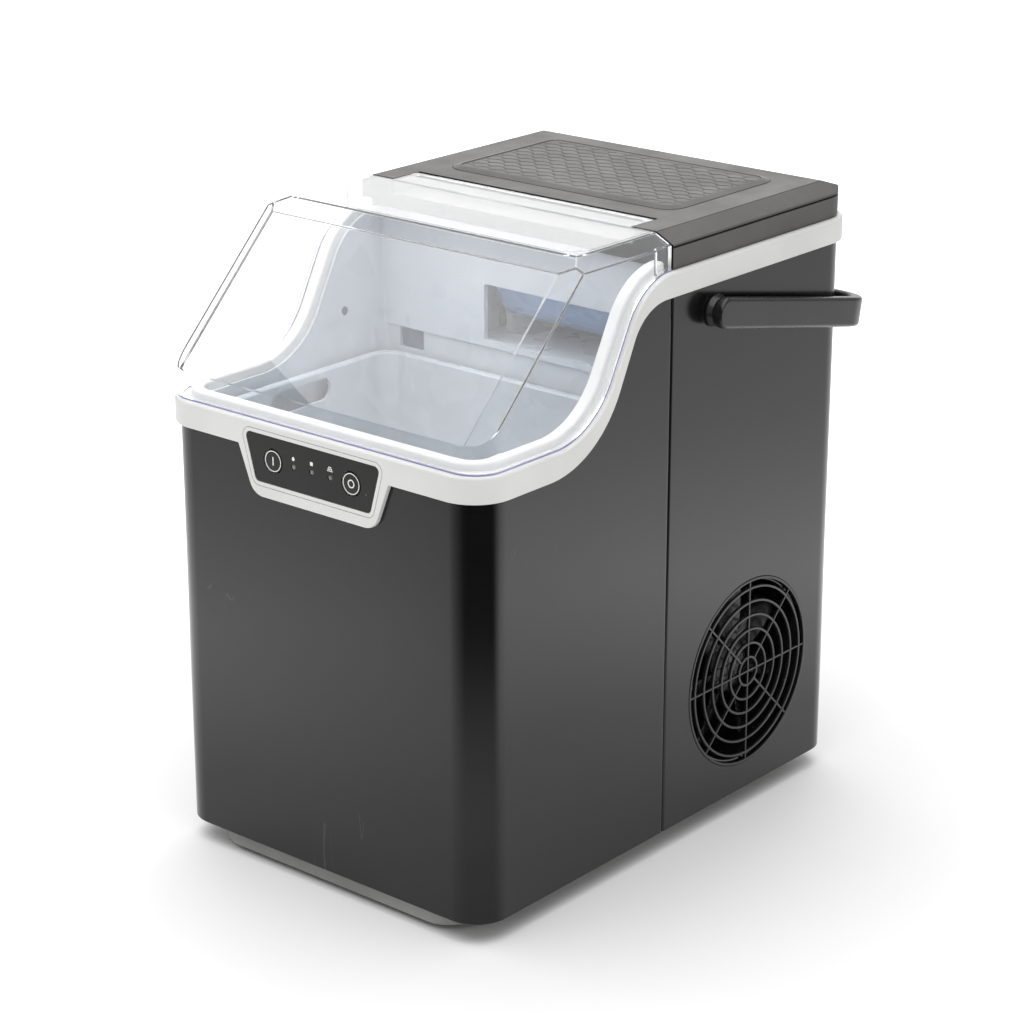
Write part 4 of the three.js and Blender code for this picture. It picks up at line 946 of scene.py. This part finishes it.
def lid_top_line(shoulder_y):
    """The fine rounded line moulded in the lid's flat top, open at the back."""
    half, front, corner, width, depth = 98.3, shoulder_y + 16.5, 14, 0.6, 0.35
    outer = rounded_rect(-half, half, front, FAR, corner, 8)
    half, front, corner = half - width, front + width, corner - width
    inner = rounded_rect(-half, half, front, FAR - width, corner, 8)
    return band("top_line", outer, inner, "z", TOP - depth, TOP + 2)


def clear_lid():
    front, low = LID[0].y, 230
    shoulder_y = front + SHOULDER - LID_SLOPE_FOOT
    planes = lid_planes(shoulder_y)
    piece = bevelled_block("clear_lid", front, LID_BACK, LID_CORNER, 0, 0, low, planes)
    soften(piece, 0.8, 3, 9)
    inner = bevelled_block("inner", front, LID_BACK + 30, LID_CORNER, 0, LID_WALL, low - 1, planes)
    soften(inner, 0.4, 2, 9)
    cut(piece, inner)
    join(piece, *lid_hinge())
    cut(piece, step_prism(raised(UPPER, 0.8)))
    cut(piece, lid_top_line(shoulder_y))
    dress(piece, "clear_lid", "lid", "lid", angle=22)


def lid_edge():
    """The lid's cut lower edge, just over the rim, painted an opaque blue-violet for the lid's tint and the
    light its edge gathers.
    """
    front, low, high = LID[0].y, 0.1, 0.75
    ys = spread(front + LID_CORNER + 1, LID_BACK + 0.2, 90)
    columns = []
    for inset, rise in ((0.05, low), (0.05, high), (LID_WALL, high), (LID_WALL, low)):
        ring = outline(HALF, front, 0, LID_CORNER, 0, inset, spread(-0.9, 0.9, 9), ys, open_back=True)
        columns.append([(x, y, step_height(raised(UPPER, rise), y)) for x, y in ring])
    piece = build("lid_lower_edge", grid(rows_from(columns), close_columns=True, caps=True))
    dress(piece, "lid_edge", "lid", slot="clear_lid")


# ---- Handle

HANDLE = {"y": 32, "z": 304.5, "tilt": radians(-11.9), "half": 122.5, "thick": 6.5, "height": 17,
          "reach": 143.5, "tail": 9, "radius": 25, "nose": 7}


def tilted(x, y, z):
    """A point in the handle's own frame, turned to its rest angle."""
    cos_t, sin_t = cos(HANDLE["tilt"]), sin(HANDLE["tilt"])
    return (x, HANDLE["y"] + y * cos_t - z * sin_t, HANDLE["z"] + y * sin_t + z * cos_t)


def handle_path():
    """The handle's centre line from its right end round the back to the left: (x, y, outward
    x, outward y, half height)."""
    h = HANDLE
    inset = h["thick"] / 2
    half, reach, radius = h["half"] - inset, h["reach"] - inset, h["radius"] - inset
    core = half - radius
    full = h["height"] / 2
    side = []
    for angle in spread(0, pi / 2, 8):
        y = -h["tail"] + h["nose"] * (1 - cos(angle))
        side.append((half, y, 1, 0, full - h["nose"] * (1 - sin(angle))))
    side += [(half, y, 1, 0, full) for y in (30, 60, 90)]
    for angle in spread(0, pi / 2, 13):
        side.append((core + radius * cos(angle), reach - radius + radius * sin(angle),
                     cos(angle), sin(angle), full))
    other = [(-x, y, -out_x, out_y, height) for x, y, out_x, out_y, height in reversed(side)]
    return side + [(x, reach, 0, 1, full) for x in (60, 0, -60)] + other


def handle():
    thick = HANDLE["thick"] / 2
    rows = []
    for x, y, out_x, out_y, height in handle_path():
        section = rounded_section(thick, height, min(2.2, height - 0.1), 5)
        rows.append([tilted(x + across * out_x, y + across * out_y, up) for across, up in section])
    piece = build("carry_handle", grid(rows, close_columns=True, caps=True))
    for side in (-1, 1):
        start, end = sorted((side * (HALF + 3), side * (HALF + 9.5)))
        cut(piece, disc("socket", 4.3, (0, HANDLE["y"], HANDLE["z"]), "x", start, end))
    dress(piece, "black_plastic", "handle", "handle")


def handle_boss(node, side):
    """A pivot boss that flares onto the body, with a shaft into the handle."""
    start, face, end = 0.3, 4.7, 9.2
    profile = [(0, start), (9, start), (9, start + 1.2), (8.4, start + 2.2), (7.6, face - 0.3), (7.2, face),
               (4, face), (4, end - 0.4), (3.6, end), (0, end)]
    centre = (side * HALF, HANDLE["y"], HANDLE["z"])
    piece = turned(node + "_cap", [(r, side * t) for r, t in profile], centre, "x", 56)
    dress(piece, "black_plastic", "root", node)


# ---- Fan: guard, shroud and rotor

BLADE = {"count": 7, "x": 94, "root": 15, "span": 32.5, "pitch": 50, "twist": 22, "chord": 13, "widen": 3,
         "camber": 1.4, "edge": 0.3, "swell": 0.6, "sweep": 4}
GRILLE = {"x": 110.2, "pitch": 8.3, "rings": 6, "wire": 1.5, "depth": 2, "frame": 1.6}


def hoop(name, radius, width, x0, x1, sides=96):
    """A ring about the fan's axis with a softened rectangular section."""
    middle, depth = (x0 + x1) / 2, x1 - x0
    section = rounded_section(width / 2, depth / 2, min(width, depth) * 0.28, 3)
    return turned(name, [(radius + a, middle + b) for a, b in section], (0, FAN_Y, FAN_Z), "x", sides)


def spoke(angle, start, end):
    """A wire of the guard from one distance from its middle to another."""
    rows = []
    for reach in (start, end):
        row = []
        for depth, across in rounded_section(0.85, 0.6, 0.25, 3):
            y = reach * sin(angle) + across * cos(angle)
            z = reach * cos(angle) - across * sin(angle)
            row.append((GRILLE["x"] - 0.05 + depth, FAN_Y + y, FAN_Z + z))
        rows.append(row)
    return build("spoke", grid(rows, close_columns=True, caps=True))


def fan_guard():
    pitch, reach, thick = GRILLE["pitch"], FAN_R - GRILLE["frame"] / 2, GRILLE["depth"] / 2
    piece = hoop("guard_grille", reach, GRILLE["frame"], GUARD[0].x, GUARD[1].x, 128)
    for index in range(1, GRILLE["rings"] + 1):
        x0, x1 = GRILLE["x"] - thick, GRILLE["x"] + thick
        join(piece, hoop("ring", index * pitch, GRILLE["wire"], x0, x1, 40 + 12 * index))
    for angle, start in ((0, -reach), (90, -reach), (45, pitch), (135, pitch), (225, pitch), (315, pitch)):
        join(piece, spoke(radians(angle), start, reach))
    dress(piece, "black_plastic", "root", "fan_guard")


def fan_shroud():
    duct = [(52.5, 66), (52.5, 107.6), (52.9, 108.2), (53.6, 108.4), (54.4, 108.1), (54.6, 107.5)]
    flange = [(54.6, 70.2), (55.4, 69), (58.4, 69), (59, 68.4), (59, 66.6), (58.4, 66)]
    piece = turned("fan_duct", duct + flange, (0, FAN_Y, FAN_Z), "x", 112)
    dress(piece, "fan_plastic", "root", "fan_shroud", slot="black_plastic")


def fan_rotor():
    """A hub with a domed nose and seven twisted, cambered blades."""
    nose = [(0, 101.8), (9, 101.4), (14.5, 99.8), (17.3, 96.8), (18, 93), (18, 86)]
    shaft_hole = [(2.9, 86), (2.9, 93), (0, 93)]
    piece = turned("rotor", nose + shaft_hole, (0, FAN_Y, FAN_Z), "x", 72)
    for index in range(BLADE["count"]):
        join(piece, blade(2 * pi * index / BLADE["count"]))
    dress(piece, "fan_plastic", "fan", "fan_rotor", angle=40)


def blade(direction):
    """One blade, lofted outwards: steep at the hub and flatter at the tip."""
    rows = []
    for out in spread(0, 1, 9):
        radius = BLADE["root"] + BLADE["span"] * out
        pitch = radians(BLADE["pitch"] - BLADE["twist"] * out)
        chord = BLADE["chord"] + BLADE["widen"] * sin(pi * out)
        front, back = [], []
        for share in spread(-0.5, 0.5, 9):
            bulge = 1 - (2 * share) ** 2
            half_thick = BLADE["edge"] + BLADE["swell"] * bulge
            for side, sign in ((front, 1), (back, -1)):
                lift = BLADE["camber"] * bulge + sign * half_thick
                x = share * chord * sin(pitch) + lift * cos(pitch)
                swing = share * chord * cos(pitch) - lift * sin(pitch) + BLADE["sweep"] * out * out
                angle = direction + swing / radius
                side.append((BLADE["x"] + x, FAN_Y + radius * sin(angle), FAN_Z + radius * cos(angle)))
        rows.append(front + back[::-1])
    return build("blade", grid(rows, close_columns=True, caps=True))


# ---- Ice bin and basket

OUTLET = {"left": -21, "right": 75, "bottom": 270, "top": 302}
PORT = {"left": -85, "right": -67, "bottom": 254, "top": 266}
SENSOR_Y = -34
SENSOR_Z = 280


def bin_liner():
    half, front, back, low = LINER[1].x, LINER[0].y, LINER[1].y, LINER[0].z
    piece = prism("bin_shell", outline(half, front, back, 9.6, 4, turn=8), "z", low, UPPER["rear"] + 2)
    soften(piece, 1.5, 3, 40)
    inner = prism("inner", outline(half - 2, front + 2, back - 2, 7.6, 3, turn=8), "z", low + 2, FAR)
    cut(piece, soften(inner, 2.5, 4, 40))
    panel = block("panel", (1 - half, -1.3, PORT["top"]), (half - 1, 1, UPPER["rear"] - 1))
    join(piece, soften(panel, 0.6, 3))
    outlet = block("outlet", (OUTLET["left"], -6, OUTLET["bottom"]), (OUTLET["right"], 6, OUTLET["top"]))
    port = block("port", (PORT["left"], -6, PORT["bottom"]), (PORT["right"], 6, PORT["top"]))
    sensor_hole = disc("sensor_hole", 2.6, (-half, SENSOR_Y, SENSOR_Z), "x", -4, 4, 28)
    cut(piece, soften(outlet, 1.5, 3), soften(port, 0.8, 2), sensor_hole)
    combine(piece, "INTERSECT", step_prism(raised(UPPER, -0.6)))
    dress(piece, "liner_plastic", "root", "bin_liner", angle=24)


def ice_basket():
    """A basket with a rolled rim, drafted walls, finger slots and drain slots."""
    half, front, back, low, top = 89, -139, -7, BASKET[0].z, BASKET[1].z
    section = [(2.4, low), (0.7, low + 0.7), (0, low + 2.4), (0, top - 2), (-2.6, top - 2), (-3, top - 1.6),
               (-3, top - 0.5), (-2.5, top), (1.2, top), (2, top - 0.8), (2.2, 240), (3.6, low + 6),
               (4.4, low + 3.4), (6, low + 2)]
    columns = []
    for inset, z in section:
        ring = outline(half, front, back, 12, 12, inset, spread(-0.8, 0.8, 5), spread(-120, -26, 8), turn=10)
        columns.append([(x, y, z) for x, y in ring])
    rows = rows_from(columns)
    count = len(rows)
    underside = (columns[0], [tuple(range(count))])
    floor_face = (columns[-1], [tuple(reversed(range(count)))])
    piece = build("basket_shell", grid(rows, close_rows=True), underside, floor_face)
    finger_slot = prism("finger_slot", rounded_rect(-102, -56, 236, 249, 6, 8), "x", -FAR / 2, FAR / 2)
    cut(piece, finger_slot)
    long, wide, pitch_x, pitch_y = 9, 2, 31, 36
    for column in range(-2, 3):
        for row in range(-1, 2):
            x, y = column * pitch_x, row * pitch_y + (front + back) / 2
            ring = rounded_rect(x - long, x + long, y - wide, y + wide, 1.9, 4)
            cut(piece, prism("drain_slot", ring, "z", low - 2, low + 4))
    dress(piece, "basket_plastic", "basket", "ice_basket", angle=28)


def outlet_fittings():
    """A pale wall that closes the ice outlet on its left, and a blue flap behind the port, coloured darker
    than the blue tray plastic to paint in the shade inside the port.
    """
    back, bottom, top = LINER[1].y, OUTLET["bottom"] - 8, OUTLET["top"] + 28
    wall = block("outlet_wall", (OUTLET["left"] - 16, back + 0.3, bottom), (OUTLET["left"] - 14.4, 29, top))
    dress(soften(wall, 0.4, 2), "liner_plastic", "root")
    lap = 3
    # The flap's dark blue is partly its own colour and partly painted shade from inside the port.
    flap = block("port_flap", (PORT["left"] - lap, back + 0.4, PORT["bottom"] - lap),
                 (PORT["right"] + lap, back + 2, PORT["top"] + lap))
    dress(soften(flap, 0.4, 2), "port_blue_painted_shade", "root", slot="tray_plastic")


def ice_sensor():
    """The sensor's round eye, which looks through the liner's left wall."""
    left, right = span("ice_sensor", "x")
    profile = [(0, left), (2.3, left), (2.3, right - 0.6), (1.9, right - 0.15), (1.2, right), (0, right)]
    piece = turned("sensor_eye", profile, (0, SENSOR_Y, SENSOR_Z), "x", 32)
    dress(piece, "black_plastic", "root", "ice_sensor")


# ---- Base, feet and the fittings on the back


def base_pan():
    """A plate with a hollow skirt and a row of shallow slots under it."""
    inset = HALF - PAN[1].x
    plate_top, plate_bottom = PAN[1].z, 12.3
    piece = prism("pan", outline(HALF, -DEEP, DEEP, CORNER, CORNER, inset), "z", plate_bottom, plate_top)
    half, deep, radius, wall = 90, 156, 20, 3
    skirt = prism("skirt", outline(half, -deep, deep, radius, radius), "z", PAN[0].z, 13)
    join(piece, soften(skirt, 1.4, 4, 40))
    ring = outline(half - wall, wall - deep, deep - wall, radius - wall, radius - wall)
    cut(piece, prism("hollow", ring, "z", 0, plate_bottom))
    half, wide, pitch, slots_y = 40, 2.5, 14, 60
    for row in range(-3, 4):
        y = slots_y + pitch * row
        ring = rounded_rect(-half, half, y - wide, y + wide, 2.4, 4)
        cut(piece, prism("air_slot", ring, "z", plate_bottom - 1, plate_bottom + 0.6))
    dress(piece, "grey_plastic", "root", "base_pan")


def foot(node):
    x, y, _ = centre_of(node)
    sole = [(0, 0.6), (3, 0.6), (4, 0), (7.8, 0), (8.6, 0.5), (9, 1.4)]
    neck = [(8.8, 9), (8.2, 11.4), (7.6, 12), (0, 12)]
    piece = turned(node + "_pad", sole + neck, (x, y, 0), "z", 48)
    dress(piece, "foot_rubber", "root", node)


def drain_plug():
    """A stem and a round cap with three grip grooves."""
    x, _, z = centre_of("drain_plug")
    start, end = span("drain_plug", "y")
    stem = [(0, start), (4.6, start), (5.6, start + 1), (5.6, start + 3), (6, start + 3.4)]
    cap = [(6, end - 3), (9.4, end - 2.6), (10, end - 2), (10, end - 0.7), (9.3, end), (0, end)]
    piece = turned("plug_cap", stem + cap, (x, 0, z), "y", 64)
    for centre, half_width, half_height in ((0, 1.3, 7.4), (-3.4, 1, 6), (3.4, 1, 6)):
        groove = block("groove", (x + centre - half_width, end - 1.1, z - half_height),
                       (x + centre + half_width, end + 2, z + half_height))
        cut(piece, groove)
    dress(piece, "black_plastic", "drain_plug", "drain_plug")


def power_inlet():
    """A three-pin socket with two chamfered corners, on a rounded plate."""
    low, high = place("power_inlet")
    x, _, z = centre_of("power_inlet")
    half, tall, back = INLET["half"], INLET["tall"], high.y
    piece = prism("inlet_face", rounded_rect(low.x, high.x, low.z, high.z, 4, 6), "y", back - 1.8, back)
    soften(piece, 0.6, 3, 40)
    join(piece, block("inlet_body", (x - half, low.y, z - tall), (x + half, back - 1, z + tall)))
    wide, tall, chamfer = 12, 8, 4
    shape = [(x - wide, z - tall), (x + wide, z - tall), (x + wide, z + tall - chamfer),
             (x + wide - chamfer, z + tall), (x + chamfer - wide, z + tall), (x - wide, z + tall - chamfer)]
    cut(piece, prism("socket", shape, "y", back - 19, back + 3))
    for pin_x, pin_z in ((x - 7, z - 2), (x, z + 2), (x + 7, z - 2)):
        join(piece, block("pin", (pin_x - 1, back - 20, pin_z - 2), (pin_x + 1, back - 8, pin_z + 2)))
    dress(piece, "black_plastic", "root", "power_inlet")


def dress_cad_nodes():
    """CAD nodes that stay keep their shape and get a finished material."""
    for part in frame["record"]["subparts"]:
        node = frame["nodes"][part["node"]]
        if not node.hide_render:
            node.data.materials.clear()
            node.data.materials.append(LOOKS[part["material_slot"]])


# ---- Studio


def studio_piece(name, points, faces, material):
    """A plain piece of the studio, in metres."""
    mesh = bpy.data.meshes.new(name)
    mesh.from_pydata(points, [], faces)
    mesh.materials.append(material)
    return add_object(name, mesh)


def studio_floor():
    size = 9.0
    corners = [(-size, -size, 0), (size, -size, 0), (size, size, 0), (-size, size, 0)]
    piece = studio_piece("studio_floor", corners, [(0, 1, 2, 3)], floor_paper())


def floor_paper():
    """White paper with a painted glow: it emits light in a ring some way out from the machine, more for
    camera rays, so that it looks overexposed there and stays darker close to the machine.
    """
    paint = Paint("studio_white", Roughness=0.85)
    paint.colour(paint.blend(paint.remap(paint.noise(3.0), 0, 1), (0.86, 0.86, 0.86), (0.88, 0.88, 0.88)))
    away = paint.distance()
    # Painted glow in a ring out from the machine, none close to it.
    rise = paint.remap(away, 0.0, 0.7, 0.28, 0.50)
    fall = paint.remap(away, 1.0, 0.1, 0.50, 0.85)
    painted_white_out = paint.math("MULTIPLY", paint.remap(away, 0.0, 0.6, 0.33, 0.60), paint.seen())
    glow = paint.math("ADD", paint.math("MULTIPLY", rise, fall), painted_white_out)
    paint.link(glow, paint.shader.inputs["Emission Strength"])
    paint.shader.inputs["Emission Color"].default_value = (1, 1, 1, 1)
    return paint.material


def area_light(name, spot, target, width, height, glow):
    """A soft panel facing its target; glow is its brightness, with 1 the white of paper."""
    data = bpy.data.lights.new(name, "AREA")
    data.shape = "RECTANGLE"
    data.size = width
    data.size_y = height
    data.energy = glow * pi * width * height
    panel = add_object(name, data)
    panel.location = spot
    panel.rotation_euler = (Vector(target) - Vector(spot)).to_track_quat("-Z", "Y").to_euler()
    panel.visible_camera = False


CARD = {"x": 0.10, "y": -0.15, "near": 0.03, "far": 1.5, "left": -150, "right": 30}


def card_black():
    """Black that fades out at the card's left, right and near ends."""
    paint = Paint("studio_card", Roughness=0.9, Specular_IOR_Level=0.0, Base_Color=(0, 0, 0, 1))
    axes = paint.node("SeparateXYZ")
    paint.link(paint.spot(), axes.inputs[0])
    angle = paint.math("ARCTAN2", axes.outputs["Y"], axes.outputs["X"])
    near_fade = paint.remap(paint.distance(), 0.3, 1.0, 0.15, 0.42)
    left_fade = paint.remap(angle, 0.0, 1.0, radians(CARD["left"]), radians(-82))
    right_fade = paint.remap(angle, 1.0, 0.0, radians(5), radians(28))
    side_fade = paint.math("MULTIPLY", left_fade, right_fade)
    paint.link(paint.math("MULTIPLY", side_fade, near_fade), paint.shader.inputs["Alpha"])
    return paint.material


def dark_card():
    """A fan-shaped black card on the floor in front, seen only in the machine's reflections."""
    bearings = [radians(angle) for angle in range(CARD["left"], CARD["right"] + 1, 6)]
    rows = []
    for reach in (CARD["near"], CARD["far"]):
        rows.append([(reach * cos(bearing), reach * sin(bearing), 0) for bearing in bearings])
    piece = studio_piece("dark_card", *grid(rows), card_black())
    piece.location = (CARD["x"], CARD["y"], 0.001)
    piece.visible_camera = False
    piece.visible_diffuse = False
    piece.visible_transmission = False
    piece.visible_shadow = False


def studio_world():
    """White behind the object, also through its lid, and a dimmer white room in reflections."""
    world = bpy.data.worlds.new("studio")
    nodes = Nodes(world)
    background = nodes.tree.nodes["Background"]
    background.inputs["Color"].default_value = (1, 1, 1, 1)
    strength = nodes.remap(nodes.seen(), 0.54, 1.0, 0.0, 1.0)
    nodes.link(strength, background.inputs["Strength"])
    bpy.context.scene.world = world


def studio():
    studio_floor()
    dark_card()
    studio_world()
    area_light("overhead", (-0.1, -0.15, 2.1), (0, 0, 0.2), 3.4, 3.0, 2.0)
    area_light("back_glare", (-1.5, 1.9, 1.0), (0, 0, 0.35), 2.6, 1.4, 1.15)


# The camera's place in metres, its angles in degrees and its optics in millimetres.
CAMERA = {"spot": (0.99483, -1.186104, 0.72854), "tilt": 70.23, "turn": 40.20, "lens": 102.88, "sensor": 36}


def camera():
    data = bpy.data.cameras.new("camera")
    data.sensor_width = CAMERA["sensor"]
    data.lens = CAMERA["lens"]
    piece = add_object("camera", data)
    piece.location = CAMERA["spot"]
    piece.rotation_euler = (radians(CAMERA["tilt"]), 0, radians(CAMERA["turn"]))
    bpy.context.scene.camera = piece


front_shell()
rear_shell()
rim()
control_film()
for button_node, button_x in BUTTON_X.items():
    push_button(button_node, button_x)
    button_print(button_node, button_x, "bar" if button_node == "on_button" else "ring")
film_icons()
for lamp_node, lamp_x in LAMP_X.items():
    lamp(lamp_node, lamp_x)
top_cover()
cover_gap_shadow()
texture_plate()
clear_lid()
lid_edge()
handle()
handle_boss("handle_boss_left", -1)
handle_boss("handle_boss_right", 1)
fan_guard()
fan_shroud()
fan_rotor()
bin_liner()
outlet_fittings()
ice_basket()
ice_sensor()
base_pan()
for foot_node in ("foot_front_left", "foot_front_right", "foot_rear_left", "foot_rear_right"):
    foot(foot_node)
drain_plug()
power_inlet()
dress_cad_nodes()
studio()
camera()
bpy.context.scene.view_settings.view_transform = "Standard"
